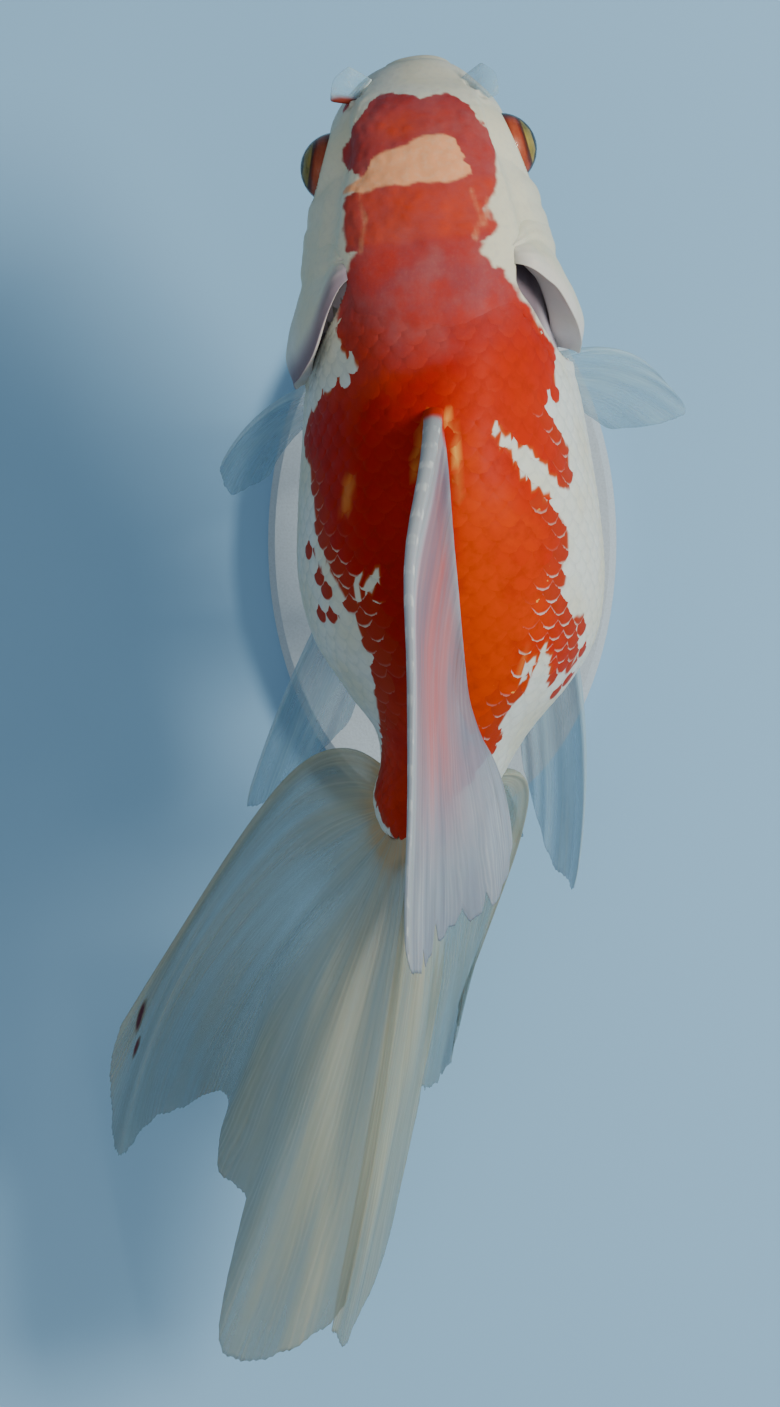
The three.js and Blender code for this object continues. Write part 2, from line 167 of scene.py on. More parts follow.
def relief(y, angle):
    """How far the flesh of the head stands out: the growth on its crown and the pad of the cheek."""
    from_crown = np.abs(angle - math.pi / 2)
    crown = CROWN_GROWTH * smooth(4, 9, y) * fade(31, 40, y) * fade(0.62, 0.86, from_crown)
    return crown + CHEEK_PAD * bump(y, 25, 6) * bump(np.abs(side_angle(angle) + 0.15), 0, 0.5)


def body_point(place, angle, grow=0.0):
    """A point of the body's surface, or grow above it. Angle 0 is the left side, a quarter turn the back."""
    y, wide, top, under, side = section(place)
    over = np.sin(angle) >= 0
    roundness = 2 / np.where(over, 2 + 0.5 * squareness(y), 2.25)
    out = grow + relief(y, angle)
    cos, sin = np.cos(angle), np.sin(angle)
    lateral = (wide + out) * np.sign(cos) * np.abs(cos) ** roundness
    up = (np.where(over, top, under) + out) * np.sign(sin) * np.abs(sin) ** roundness
    turn = turn_at(y)
    return np.stack([side + lateral * np.cos(turn), y - lateral * np.sin(turn), up], -1)


def body_normal(place, angle):
    """The direction straight out of the body's surface."""
    step = 0.02
    ahead = body_point(np.minimum(place + step, LAST), angle)
    ahead = ahead - body_point(np.maximum(place - step, 0), angle)
    round_it = body_point(place, angle + step) - body_point(place, angle - step)
    normal = np.cross(round_it, ahead)
    length = np.linalg.norm(normal, axis=-1, keepdims=True)
    return -normal / np.maximum(length, 1e-9)


def to_world(points):
    """From the fish's frame, in millimetres, to the row's frame, in metres."""
    x, y, z = np.moveaxis(np.asarray(points, float), -1, 0)
    y = y - PIVOT_Y
    cos, sin = math.cos(-NOSE_UP), math.sin(-NOSE_UP)
    return np.stack([x, y * cos - z * sin, AXIS_HEIGHT + y * sin + z * cos], -1) * MM


def beside_head(out, along, up):
    """A point beside the head: out from the spine, along the body, up from the axis."""
    turn = turn_at(along)
    side = section(place_of(along))[4]
    return np.array([side + out * math.cos(turn), along - out * math.sin(turn), up])


# ---------------------------------------------------------------- markings
# Where the red saddle ends on each side of the back: distance from the snout, degrees down from the ridge.
RED_LEFT = (
    (5, 56), (14.5, 53), (16.3, 50), (17.2, 42), (18.4, 29), (21, 29), (21.8, 37), (23.9, 35),
    (25.7, 35), (29.2, 33), (29.9, 28), (32.6, 33), (35.6, 40), (38.7, 44), (41.3, 46), (44, 42),
    (45.3, 36), (47.8, 39), (50, 60), (53, 70), (57, 79), (61.5, 66), (67, 62), (72.5, 57), (75, 53),
    (79, 45), (84, 41), (88.4, 37), (92.8, 41), (96, 48), (98.5, 55), (101.5, 64), (104.2, 75),
    (107, 84), (110, 88), (112.5, 82), (114.5, 62), (116.5, 45), (119, 0),
)  # fmt: skip
RED_RIGHT = (
    (5, 56), (13.7, 45), (15.8, 42), (18.6, 35), (21.7, 30), (23.3, 27), (25.2, 21), (26.8, 24),
    (27.9, 26), (29.2, 22), (29.6, 18), (31.7, 18), (33.3, 23), (34.3, 28), (35.4, 31.5), (37.5, 36),
    (39.2, 40.5), (40.3, 44), (42.6, 47.5), (43.6, 52), (45, 57), (46.9, 57.5), (47.9, 54), (51.7, 52.5),
    (52.4, 43), (55, 46), (59.4, 54), (63.4, 52), (66, 40), (69, 47), (73, 46), (77, 43), (79.2, 42),
    (80.5, 47), (84, 52), (88, 59), (91.5, 61), (93, 48), (94, 31), (99, 30), (102, 38), (106, 28),
    (112, 12), (117, 0),
)  # fmt: skip
# Where the red starts on the crown: degrees down from the ridge against distance from the snout.
CAP_DOWN = (-42, -39, -32, -28, -24, -19, -10, -2, 4, 14, 24, 29, 31, 36, 42, 53)
CAP_FRONT = (15.8, 13.7, 11.9, 9.8, 8.4, 7.7, 7.8, 8.3, 7.3, 6.9, 6.8, 8, 9.8, 11.2, 12.7, 14.5)
# Scales that are red on their own, on the white flanks: distance from the snout, degrees from the ridge.
LONE_RED = (
    (73.9, 63), (76.9, 58), (79.9, 53), (84.1, 61), (82.9, 51), (84.1, -54), (88.2, -63), (92.5, -70),
    (93.9, -62),
)  # fmt: skip
MM_PER_DEGREE = 0.45  # on the flanks
# White streaks through the red: from, to, half width in mm at each end.
WHITE_STREAKS = (
    ((56.0, -17.5), (61.5, -33), 0.6, 1.9), ((61.5, -33), (66.5, -47), 1.9, 1.1),
    ((76.7, 29), (78.9, 35.5), 1.0, 0.6), ((80.3, 30), (80.9, 36), 0.7, 0.35),
    ((76.2, 36.5), (80.5, 38), 0.6, 0.35), ((82, 40), (88, 42), 0.35, 0.7),
    ((86, -35.5), (89, -36), 0.3, 0.8), ((87.5, -30.5), (91, -31.5), 0.3, 0.9),
    ((88.2, -36), (94, -42), 0.8, 3.2),
)  # fmt: skip
# Lines along which the red scales keep pale rims.
NET_LINES = (
    ((72, 47), (80, 42)), ((80, 42), (88, 42)), ((77, 36), (84, 36)), ((77, -38), (90, -36)),
    ((81, -36), (91, -29)), ((80, -42), (92, -56)),
)  # fmt: skip
# Golden places: from, to, half width in mm and how golden.
GOLD_STREAKS = (
    ((53.4, -0.3), (59.8, -2.6), 0.6, 1.0), ((59.5, -2.6), (66, -2.2), 0.5, 0.25),
    ((53.8, 8), (61, 13), 0.9, 0.4), ((63, 40.5), (66.5, 42), 1.5, 0.4),
    ((56.8, -22.5), (60.5, -31.5), 0.5, 0.4), ((88, -28), (91, -27), 0.8, 0.3),
)  # fmt: skip
# Pale creases of the growth on the crown: from and to.
CROWN_CREASES = (
    ((21.4, 27), (23.1, 26)), ((23.1, 26), (25.2, 23)), ((25.2, 23), (29.6, 25)),
    ((22.6, -17), (26.3, -19)), ((26.3, -19), (29, -15)), ((24, -24), (27.4, -20)),
)  # fmt: skip
# Places that are more orange, or less: by how much, the distance from the snout and its spread, and the
# degrees from the ridge and their spread.
ORANGE_PLACES = ((0.25, 24, 2.5, 19, 7), (-0.25, 32, 3, 0, 12), (-0.3, 50, 7, 4, 16))
NOSTRIL_SPOT = (6.9, 60, 2.4)  # red: distance from the snout, degrees from the ridge, radius in mm
LONE_RADIUS = 2.4  # of a red scale on its own, in mm
# The pale band across the crown: where it starts and ends, against degrees down from the ridge.
PEACH_DOWN = (-20, -17.5, -16, -14, -9, -1, 4, 14, 22, 25, 32, 40)
PEACH_FRONT = (20.2, 18.7, 16.3, 14.6, 14, 14, 15, 15.5, 16.6, 18.5, 19.7, 20.2)
PEACH_REAR = (20, 20, 20.3, 20.5, 20.9, 20.7, 20.8, 20.7, 21.2, 21.4, 21, 21)


def near(y, down, spot):
    """How near a place is to a round spot: 1 at its middle, 0 from its radius out."""
    y0, down0, radius = spot
    away = np.hypot(np.asarray(y) - y0, (np.asarray(down) - down0) * MM_PER_DEGREE)
    return fade(0.55 * radius, radius, away)


def near_line(y, down, start, end):
    """Distance in mm from a line across the markings, and the share of the way along it."""
    (y0, d0), (y1, d1) = start, end
    long, wide = y1 - y0, (d1 - d0) * MM_PER_DEGREE
    sideways = (np.asarray(down) - d0) * MM_PER_DEGREE
    along = np.clip(((y - y0) * long + sideways * wide) / (long**2 + wide**2), 0, 1)
    return np.hypot(y - y0 - along * long, sideways - along * wide), along


def edge_of(line, y):
    """Where an edge of the red runs. Past both its ends there is no red."""
    ys, downs = zip(*line)
    return np.interp(y, ys, downs, left=-60, right=-60)


def red_edge(y, down):
    """How far down from the ridge the red reaches on a point's own side, in degrees."""
    return np.where(down >= 0, edge_of(RED_LEFT, y), edge_of(RED_RIGHT, y))


def crown_patch(y, down):
    """The clear orange patch at the front of the crown."""
    return bump(y, 12.4, 2.2) * bump(down, 9, 14)


def markings(y, down, soft=2.0):
    """What the markings say at a distance from the snout and degrees down from the ridge, positive to the
    left: shares of red, of orange in the red and of peach. soft is the width of the edge in degrees."""
    y, down = np.asarray(y, float), np.asarray(down, float)
    red = smooth(-soft, soft, red_edge(y, down) - np.abs(down))
    red = red * smooth(-0.35, 0.35, y - np.interp(down, CAP_DOWN, CAP_FRONT))
    for spot in [(y0, down0, LONE_RADIUS) for y0, down0 in LONE_RED] + [NOSTRIL_SPOT]:
        red = np.maximum(red, near(y, down, spot))
    trunk = smooth(46, 60, y) * fade(95, 106, y)
    # Partly painted light and shade: the right of the back, most of all near the ridge, is painted brighter
    # orange as lit, and the left of the back deeper crimson as shaded, over a deeper red that the fish has on
    # its left.
    orange = 0.42 + trunk * (0.42 * bump(down, -20, 24) * smooth(54, 76, y) + 0.35 * bump(down, -7, 7))
    orange -= 0.5 * smooth(44, 58, y) * smooth(-3, 6, down) * (1 - 0.75 * smooth(88, 98, y))
    orange += 0.5 * smooth(19, 21.5, y) * fade(28.2, 29.8, y) - 0.3 * fade(8, 10.5, y)
    orange += 0.6 * crown_patch(y, down)
    for more, middle, long, middle_down, wide in ORANGE_PLACES:
        orange += more * bump(y, middle, long) * bump(down, middle_down, wide)
    front = np.interp(down, PEACH_DOWN, PEACH_FRONT)
    rear = np.interp(down, PEACH_DOWN, PEACH_REAR)
    peach = smooth(-0.5, 0.5, y - front) * smooth(-0.5, 0.5, rear - y)
    return red, orange, peach * fade(36, 44, down)


def whitened(y, down):
    """How much red is left beside the white streaks: 0 in them, 1 away from them."""
    left = np.ones_like(y * down)
    for start, end, first, last in WHITE_STREAKS:
        off, along = near_line(y, down, start, end)
        left = np.minimum(left, smooth(0.75, 1.2, off / (first + (last - first) * along)))
    return left


def creased(y, down):
    """How near a place is to a pale crease of the crown."""
    off = np.min([near_line(y, down, start, end)[0] for start, end in CROWN_CREASES], axis=0)
    return fade(0.15, 1.3, off)


def golden(y, down):
    """How golden the places beside the dorsal fin are."""
    gold = np.zeros_like(y * down)
    for start, end, half, share in GOLD_STREAKS:
        gold = np.maximum(gold, share * fade(0.3 * half, half, near_line(y, down, start, end)[0]))
    return gold


def milky(y, down):
    """How far a milky film dulls the red of the head and the fore back."""
    clearer = 0.3 * smooth(20, 21.5, y) * fade(28.2, 29.8, y)
    clearer = clearer + 0.4 * crown_patch(y, down)
    clearer = clearer + 0.45 * smooth(14, 34, np.abs(down + 2)) * smooth(36, 42, y)
    return 0.85 * fade(38, 50, y - 0.1 * down) * (1 - clearer)


def creamy(y):
    """How warm the white is: most behind the snout, fading over the gill covers."""
    return 0.8 * fade(30, 48, y) * (0.4 + 0.6 * smooth(4, 13, y))


# ---------------------------------------------------------------- gill covers
COVER_FRONT = 23.5
COVER_BOTTOM, COVER_TOP = -1.15, 1.0
COVER_FLARE = {1: 3.0, -1: 2.9}  # left, right
COVER_LINING = {1: 4.2, -1: 5.0}  # how thick the fleshy inner face is at its lowest
COVER_WALL = 0.9
COVER_FACETS = (56, 80)  # back from the cheek, and up
GILL_SINK = 2.0  # of the hollow behind a cover
# The free edge of each cover: the angle up from the side, and the distance from the snout.
COVER_EDGE = {
    1: (
        (-1.15, 33.5), (-0.8, 42.5), (-0.3, 47.2), (0.1, 48.6), (0.46, 47.2), (0.67, 43.5), (0.8, 38.5),
        (1.0, 33),
    ),
    -1: (
        (-1.15, 33.5), (-0.8, 41), (-0.3, 45), (0.05, 46), (0.3, 44.4), (0.46, 41), (0.64, 37), (0.9, 34.4),
        (1.0, 33),
    ),
}  # fmt: skip
# The rear edge of the hollow under each cover, in the same way.
HOLLOW_EDGE = {
    1: (
        (-1.15, 33), (-0.8, 41), (-0.3, 45.5), (0, 46.5), (0.28, 45.6), (0.42, 43.2), (0.56, 40.6),
        (0.75, 37.5), (1.0, 33.5),
    ),
    -1: (
        (-1.15, 33), (-0.8, 40.5), (-0.3, 45), (0.1, 46.4), (0.42, 45.8), (0.56, 44.2), (0.73, 40.4),
        (0.84, 38), (1.0, 35),
    ),
}  # fmt: skip


def soft_line(points, spread=41):
    """A line through the points with its corners rounded, as two rows of numbers."""
    xs, ys = zip(*points)
    fine = np.linspace(xs[0], xs[-1], 400)
    weights = np.hanning(spread)
    padded = np.pad(np.interp(fine, xs, ys), spread // 2, "edge")
    return fine, np.convolve(padded, weights / weights.sum(), "valid")


COVER_LINE = {side: soft_line(points) for side, points in COVER_EDGE.items()}
HOLLOW_LINE = {side: soft_line(points) for side, points in HOLLOW_EDGE.items()}


def along_line(line, up, left):
    """The distance from the snout on a line of the gills, for an angle up from the side."""
    return np.where(left, np.interp(up, *line[1]), np.interp(up, *line[-1]))


def cover_rear(up, left):
    """Where the free edge of a gill cover runs. left is true on the left."""
    return along_line(COVER_LINE, up, left)


def gill_end(angle):
    """Where the hollow behind a gill cover ends on the body. It reaches further behind the right one."""
    return along_line(HOLLOW_LINE, side_angle(angle), np.cos(angle) >= 0)


def gill_chamber(y, angle):
    """1 inside the hollow behind a gill cover, 0 outside."""
    up = side_angle(angle)
    rear = cover_rear(up, np.cos(angle) >= 0)
    within = smooth(COVER_BOTTOM - 0.02, COVER_BOTTOM + 0.2, up)
    within = within * fade(COVER_TOP - 0.12, COVER_TOP, up)
    front = rear - 9 + 4.5 * smooth(0.6, 0.95, up)
    return within * smooth(front, front + 4, y) * fade(-0.4, 1.0, y - gill_end(angle))


def gill_shade(angle, chamber):
    """How dark the hollow is. The right one is seen into more deeply near its top."""
    right_slit = smooth(0.35, 0.6, side_angle(angle)) * (np.cos(angle) < 0)
    return (0.15 + 0.6 * right_slit) * smooth(0.15 - 0.12 * right_slit, 0.6 - 0.3 * right_slit, chamber)


def down_from(angle):
    """Degrees down from the ridge of the back, positive to the left."""
    down = 90 - np.degrees(angle)
    return (down + 180) % 360 - 180


def plan_down(points, place, y, angle):
    """Degrees down from the ridge for the head's points, by how far out to the side they stand."""
    side = section(place)[4]
    turn = turn_at(y)
    out = (points[:, 0] - side) * np.cos(turn) - (points[:, 1] - y) * np.sin(turn)
    share = np.clip(np.abs(out) / np.maximum(section(place)[1] + relief(y, angle), 1e-6), 0, 1)
    by_plan = np.sign(out) * np.degrees(np.arcsin(share ** (1 + 0.25 * squareness(y))))
    weight = smooth(-0.05, 0.15, np.sin(angle)) * fade(24, 30, y)
    return down_from(angle) * (1 - weight) + by_plan * weight


def scales_begin(angle):
    """Where the scales start behind the head, for an angle round the body."""
    up = side_angle(angle)
    behind_cover = gill_end(angle) + 1.0
    nape = 37.0 + 2.5 * smooth(0, 0.5, up - COVER_TOP)
    return np.where(up > COVER_TOP, nape, np.where(up < COVER_BOTTOM, 39.0, behind_cover))


# ---------------------------------------------------------------- mesh helpers
def to_mesh(bm, name):
    """Turns a finished bmesh into a mesh and frees it."""
    mesh = bpy.data.meshes.new(name)
    bm.to_mesh(mesh)
    bm.free()
    return mesh


def add_object(name, data):
    made = bpy.data.objects.new(name, data)
    bpy.context.scene.collection.objects.link(made)
    return made


def make_piece(name, mesh, material):
    """A smooth-shaded piece of the fish, which rides with the one body."""
    mesh.name = name
    mesh.materials.append(material)
    piece = add_object(name, mesh)
    mesh.polygons.foreach_set("use_smooth", [True] * len(mesh.polygons))
    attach(piece, "root")
    return piece


def points_of(mesh):
    co = np.empty(len(mesh.vertices) * 3, np.float64)
    mesh.vertices.foreach_get("co", co)
    return co.reshape(-1, 3)


def set_points(mesh, points):
    mesh.vertices.foreach_set("co", np.ascontiguousarray(points, np.float64).ravel())
    mesh.update()


def face_outwards(mesh):
    bm = bmesh.new()
    bm.from_mesh(mesh)
    bmesh.ops.recalc_face_normals(bm, faces=bm.faces)
    bm.to_mesh(mesh)
    bm.free()


def add_values(mesh, **values):
    """Stores one number for each point under each name, for the materials to read."""
    for name, numbers in values.items():
        layer = mesh.attributes.new(name, "FLOAT", "POINT")
        layer.data.foreach_set("value", np.ascontiguousarray(numbers, np.float32))


def add_uv(mesh, name, uv):
    """Adds a UV map that holds one place for each point."""
    index = np.empty(len(mesh.loops), np.int32)
    mesh.loops.foreach_get("vertex_index", index)
    mesh.uv_layers.new(name=name).data.foreach_set("uv", uv[index].astype(np.float32).ravel())


def noise_at(points, size, seed=0.0):
    """Smooth noise from -1 to 1 at points in millimetres, with lumps about size across."""
    shift = Vector((seed, 3.1 * seed, -1.7 * seed))
    return np.array([noise.noise(Vector(p) / size + shift) for p in points])


def closed_sheet(across, along):
    """A grid with a back: x and y run from 0 to 1, and z is 1 on the front and 0 on the back."""
    bm = bmesh.new()
    bmesh.ops.create_grid(bm, x_segments=across, y_segments=along, size=0.5)
    for v in bm.verts:
        v.co += Vector((0.5, 0.5, 0.0))
    grown = bmesh.ops.extrude_face_region(bm, geom=bm.faces[:])["geom"]
    for v in grown:
        if isinstance(v, bmesh.types.BMVert):
            v.co.z = 1.0
    bmesh.ops.recalc_face_normals(bm, faces=bm.faces)
    return bm


# ---------------------------------------------------------------- materials
# Depth of the finest bumps of each finish, in metres.
SKIN_GRAIN, SCALE_GRAIN, FIN_GRAIN = 0.00016, 0.00008, 0.00008
EYE_GRAIN, PAINT_GRAIN, STEEL_GRAIN = 0.0002, 0.00012, 0.00004
RIM_POWER, RIM_DEPTH = 2.2, 0.28  # how the rim of a scale curves back towards its sides
RAY_BEADS = 21  # along the thick first ray of the dorsal fin
PUPIL = (0.004, 0.004, 0.005)
CORNEA_TINT, CORNEA_IOR = (0.97, 0.96, 0.86, 1), 1.22
STEEL_DARK, STEEL_LIGHT = (0.42, 0.43, 0.44), (0.66, 0.67, 0.68)


class Number:
    """A number that a material's nodes work out. Arithmetic on it adds nodes."""

    def __init__(self, shading, socket):
        self.shading, self.socket = shading, socket

    def __add__(self, other):
        return self.shading.math("ADD", self, other)

    def __sub__(self, other):
        return self.shading.math("SUBTRACT", self, other)

    def __rsub__(self, other):
        return self.shading.math("SUBTRACT", other, self)

    def __mul__(self, other):
        return self.shading.math("MULTIPLY", self, other)

    def __truediv__(self, other):
        return self.shading.math("DIVIDE", self, other)

    def __pow__(self, other):
        return self.shading.math("POWER", self, other)

    def __abs__(self):
        return self.shading.math("ABSOLUTE", self)

    def clamped(self):
        """The same number, kept between 0 and 1."""
        self.socket.node.use_clamp = True
        return self


class Shading:
    """A material's node tree, with short ways to add the nodes that these finishes use."""

    def __init__(self, name):
        self.material = bpy.data.materials.new(name)
        self.material.use_nodes = True
        self.tree = self.material.node_tree
        self.shader = self.tree.nodes["Principled BSDF"]

    def node(self, kind, **settings):
        made = self.tree.nodes.new(kind)
        for name, value in settings.items():
            setattr(made, name, value)
        return made

    def put(self, socket, value):
        """Links an output to a socket, or sets a plain value on it."""
        value = value.socket if isinstance(value, Number) else value
        if isinstance(value, bpy.types.NodeSocket):
            self.tree.links.new(value, socket)
        elif isinstance(value, (tuple, Color)) and len(value) == 3 and socket.type == "RGBA":
            socket.default_value = (*value, 1)
        else:
            socket.default_value = value

    def math(self, operation, a, b=0.0):
        made = self.node("ShaderNodeMath", operation=operation)
        self.put(made.inputs[0], a)
        self.put(made.inputs[1], b)
        return Number(self, made.outputs[0])

    def ramp(self, value, low, high, to_low=0.0, to_high=1.0):
        """Follows a value between low and high with an even S, and gives to_low and to_high at its ends."""
        made = self.node("ShaderNodeMapRange", interpolation_type="SMOOTHSTEP")
        for socket, given in zip(made.inputs, (value, low, high, to_low, to_high)):
            self.put(socket, given)
        return Number(self, made.outputs[0])

    def mix(self, share, a, b, blend="MIX"):
        made = self.node("ShaderNodeMix", data_type="RGBA", blend_type=blend)
        self.put(made.inputs[0], share)
        self.put(made.inputs[6], a)
        self.put(made.inputs[7], b)
        return made.outputs[2]

    def value(self, name):
        """A number that add_values stored on the mesh."""
        return Number(self, self.node("ShaderNodeAttribute", attribute_name=name).outputs["Fac"])

    def place(self):
        return self.node("ShaderNodeTexCoord").outputs["Object"]

    def uv(self, name):
        """Both parts of a UV map."""
        split = self.node("ShaderNodeSeparateXYZ")
        self.put(split.inputs[0], self.node("ShaderNodeUVMap", uv_map=name).outputs[0])
        return Number(self, split.outputs[0]), Number(self, split.outputs[1])

    def noise(self, scale, detail=3.0, where=None, rough=0.5):
        made = self.node("ShaderNodeTexNoise")
        self.put(made.inputs["Vector"], where or self.place())
        for name, number in (("Scale", scale), ("Detail", detail), ("Roughness", rough)):
            made.inputs[name].default_value = number
        return Number(self, made.outputs["Fac"])

    def raise_by(self, height, distance, strength=1.0):
        made = self.node("ShaderNodeBump")
        made.inputs["Distance"].default_value = distance
        made.inputs["Strength"].default_value = strength
        self.put(made.inputs["Height"], height)
        self.put(self.shader.inputs["Normal"], made.outputs[0])

    def set(self, **values):
        """Sets sockets of the main shader. Underscores in a name stand for spaces."""
        for name, value in values.items():
            self.put(self.shader.inputs[name.replace("_", " ")], value)
        return self.material


def skin_material(colours, name, scaled):
    """Goldfish skin: white with a pearly cast, red where the markings say, and painted shade in its hollows.
    """
    s = Shading(name)
    red, orange, gold, peach = (s.value(n) for n in ("red", "orange", "gold", "peach"))
    broad = s.noise(90, 3.0)
    fine = s.noise(1100, 4.0)
    grains = s.noise(380, 3.0, rough=0.6)
    white = s.mix(s.ramp(broad, 0.35, 0.65, 0.3, 1.0), colours.cream, colours.pearl)
    white = s.mix(s.value("cream"), white, colours.cream)
    white = s.mix(s.ramp(fine, 0.45, 0.75, 0.0, 0.18), white, colours.grey)
    hue = orange + (broad - 0.5) * 0.8
    warm = s.mix(s.ramp(hue, 0.0, 0.45), colours.crimson, colours.red)
    warm = s.mix(s.ramp(hue, 0.45, 1.0), warm, colours.orange)
    warm = s.mix(s.ramp(grains, 0.45, 0.75, 0.0, 0.22), warm, colours.maroon)
    patchy = s.ramp(s.noise(170, 4.0, rough=0.6), 0.3, 0.7, 0.45, 1.15)
    film = (s.value("milky") * patchy).clamped()
    warm = s.mix(film, warm, colours.film)
    veil = s.ramp(s.noise(150, 4.0, rough=0.6), 0.42, 0.8) * (film * 0.4)
    warm = s.mix(veil, warm, colours.rose)
    flecks = s.ramp(s.noise(2600, 2.0), 0.5, 0.8) * (film * 0.05)
    warm = s.mix(flecks, warm, colours.peach)
    if scaled:
        # Painted glints: sparse golden highlights where the back is orange.
        painted_glints = s.ramp(s.noise(700, 2.0), 0.735, 0.765) * s.ramp(orange, 0.5, 0.7)
        gold = s.math("MAXIMUM", gold, painted_glints)
    warm = s.mix(gold, warm, colours.gold)
    if scaled:
        across, behind = s.uv("ScaleUV")
        inward = behind - abs(across) ** RIM_POWER * RIM_DEPTH
        # Painted shade: under grows where a scale runs in beneath its neighbours' rims; it darkens the red
        # with maroon and the white with grey.
        tucked = behind - ((1.0 - abs(across)) ** RIM_POWER * RIM_DEPTH + 0.5)
        under = s.ramp(tucked, -0.22, -0.02)
        rim_starts = s.ramp(grains, 0.35, 0.65, 0.0, 0.05)
        rim = s.ramp(inward, rim_starts, s.ramp(grains, 0.35, 0.65, 0.09, 0.16), 1.0, 0.0)
        from_middle = (across / 0.92) ** 2.0 + ((behind - 0.44) / 0.4) ** 2.0
        spot = s.ramp(from_middle, 0.8, 1.15, 1.0, 0.0)
        lone = s.value("lone")
        # Painted highlight: a paler orange band along each red scale's free rim.
        warm = s.mix(s.ramp(inward, 0.05, 0.3, 0.05, 0.0), warm, colours.orange)
        warm = s.mix(under * 0.08, warm, colours.maroon)
        warm = s.mix(s.ramp(red, 0.5, 0.9, 0.55, 0.0), warm, colours.amber)
        warm = s.mix(s.value("edge") * 0.75, warm, colours.brick)
        white = s.mix(under * 0.22, white, colours.grey)
        red = s.ramp(red, 0.35, 0.65) * (1.0 - rim * s.value("net")) * (1.0 - lone + lone * spot)
    else:
        warm = s.mix(s.value("crease") * 0.35, warm, colours.plum)
        warm = s.mix(s.ramp(red, 0.55, 0.95, 0.55, 0.0), warm, colours.plum)
        red = s.ramp(red + (grains - 0.5) * 0.7, 0.12, 0.82)
    colour = s.mix(red, white, warm)
    blush = s.mix(s.ramp(fine, 0.4, 0.8, 0.0, 0.2), colours.peach, colours.cream)
    peach = peach + (grains - 0.5) * s.ramp(peach, 0.02, 0.3, 0, 0.7)
    colour = s.mix(s.ramp(peach, 0.08, 0.92), colour, blush)
    colour = s.mix(s.value("lilac"), colour, colours.lilac)
    # dark is painted shade in the mouth, nostrils, eye sockets, gill hollows and under the gill covers, and
    # it also makes the snout tip darker.
    colour = s.mix(s.value("dark"), colour, colours.hollow)
    s.raise_by(grains * 0.6 + fine * 0.4, SCALE_GRAIN if scaled else SKIN_GRAIN, 0.6)
    rough = s.ramp(grains, 0.3, 0.7, 0.42, 0.56)
    return s.set(
        Base_Color=colour, Roughness=rough, Subsurface_Weight=0.05, Subsurface_Scale=0.001,
        Coat_Weight=0.006, Coat_Roughness=0.25, Specular_IOR_Level=0.05,
    )  # fmt: skip


def fin_material(colours, name, milk_colour, shade_colour, tint, thin=0.45, lines=0.3, spot=None):
    """Fin membrane: milky and see-through between rays, which are denser and paler. thin is how solid the
    membrane is, and lines is the strength of the dark lines between its folds."""
    s = Shading(name)
    number, along = s.uv("FinUV")

    def stretched(by_ray, by_length, detail=3.0, rough=0.5):
        place = s.node("ShaderNodeCombineXYZ")
        s.put(place.inputs[0], number * by_ray)
        s.put(place.inputs[1], along * by_length)
        return s.noise(1.0, detail, where=place.outputs[0], rough=rough)

    across = number + (stretched(0.6, 4.0) - 0.5) * 1.3

    def comb(times, sign):
        wave = s.math("COSINE", across * (times * 2 * math.pi))
        return (wave * (sign * 0.5) + 0.5) ** 2.0

    branched = s.ramp(along, 0.3, 0.55)
    rays = comb(1, 1) * (1.0 - branched) + comb(2, -1) * branched
    rays = rays * s.ramp(stretched(0.6, 1.6), 0.35, 0.7)
    streaks = stretched(0.55, 1.8, 4.0, 0.6)
    broad = stretched(0.16, 1.2, 2.0)
    dark_lines = s.ramp(stretched(1.5, 1.1, 3.0, 0.55), 0.6, 0.7)
    names = ("milk", "tint", "spine", "spot", "flesh")
    milk, flushed, spine, spots, flesh = (s.value(n) for n in names)
    share = s.ramp(streaks, 0.3, 0.7, -0.1, 0.25) + s.ramp(broad, 0.35, 0.65, -0.15, 0.15)
    share = (share + milk * 0.8).clamped()
    colour = s.mix(share, shade_colour, milk_colour)
    colour = s.mix(rays * 0.16, colour, colours.fin_ray)
    colour = s.mix(dark_lines * lines, colour, colours.fin_line)
    colour = s.mix(flushed * s.ramp(streaks, 0.3, 0.65, 0.35, 1.0), colour, tint)
    beads = s.ramp(s.math("SINE", along * (2 * math.pi * RAY_BEADS)), 0.2, 0.8)
    beads = beads * s.ramp(stretched(3.0, 30.0, 1.0), 0.4, 0.6)
    beads = beads * s.ramp(abs(across - 0.4), 0.15, 0.5, 1.0, 0.0)
    band = s.mix(s.ramp(streaks, 0.35, 0.65), colours.fin_shaft, colours.dorsal_milk)
    colour = s.mix(spine, colour, s.mix(beads * 0.7, band, colours.pearl))
    colour = s.mix(spots, colour, colours.fin_spot if spot is None else spot)
    solid = (rays * 0.1 + thin + share * 0.36 + flushed * 0.15).clamped()
    solid = (solid + (flesh + spots)).clamped()
    solid = (solid + spine).clamped()
    s.raise_by(rays * 0.6 + streaks, FIN_GRAIN, 0.5)
    return s.set(
        Base_Color=colour, Alpha=solid, Roughness=0.55, Subsurface_Weight=0.08, Subsurface_Scale=0.001,
        Coat_Weight=0.02, Coat_Roughness=0.3, Specular_IOR_Level=0.16,
    )  # fmt: skip


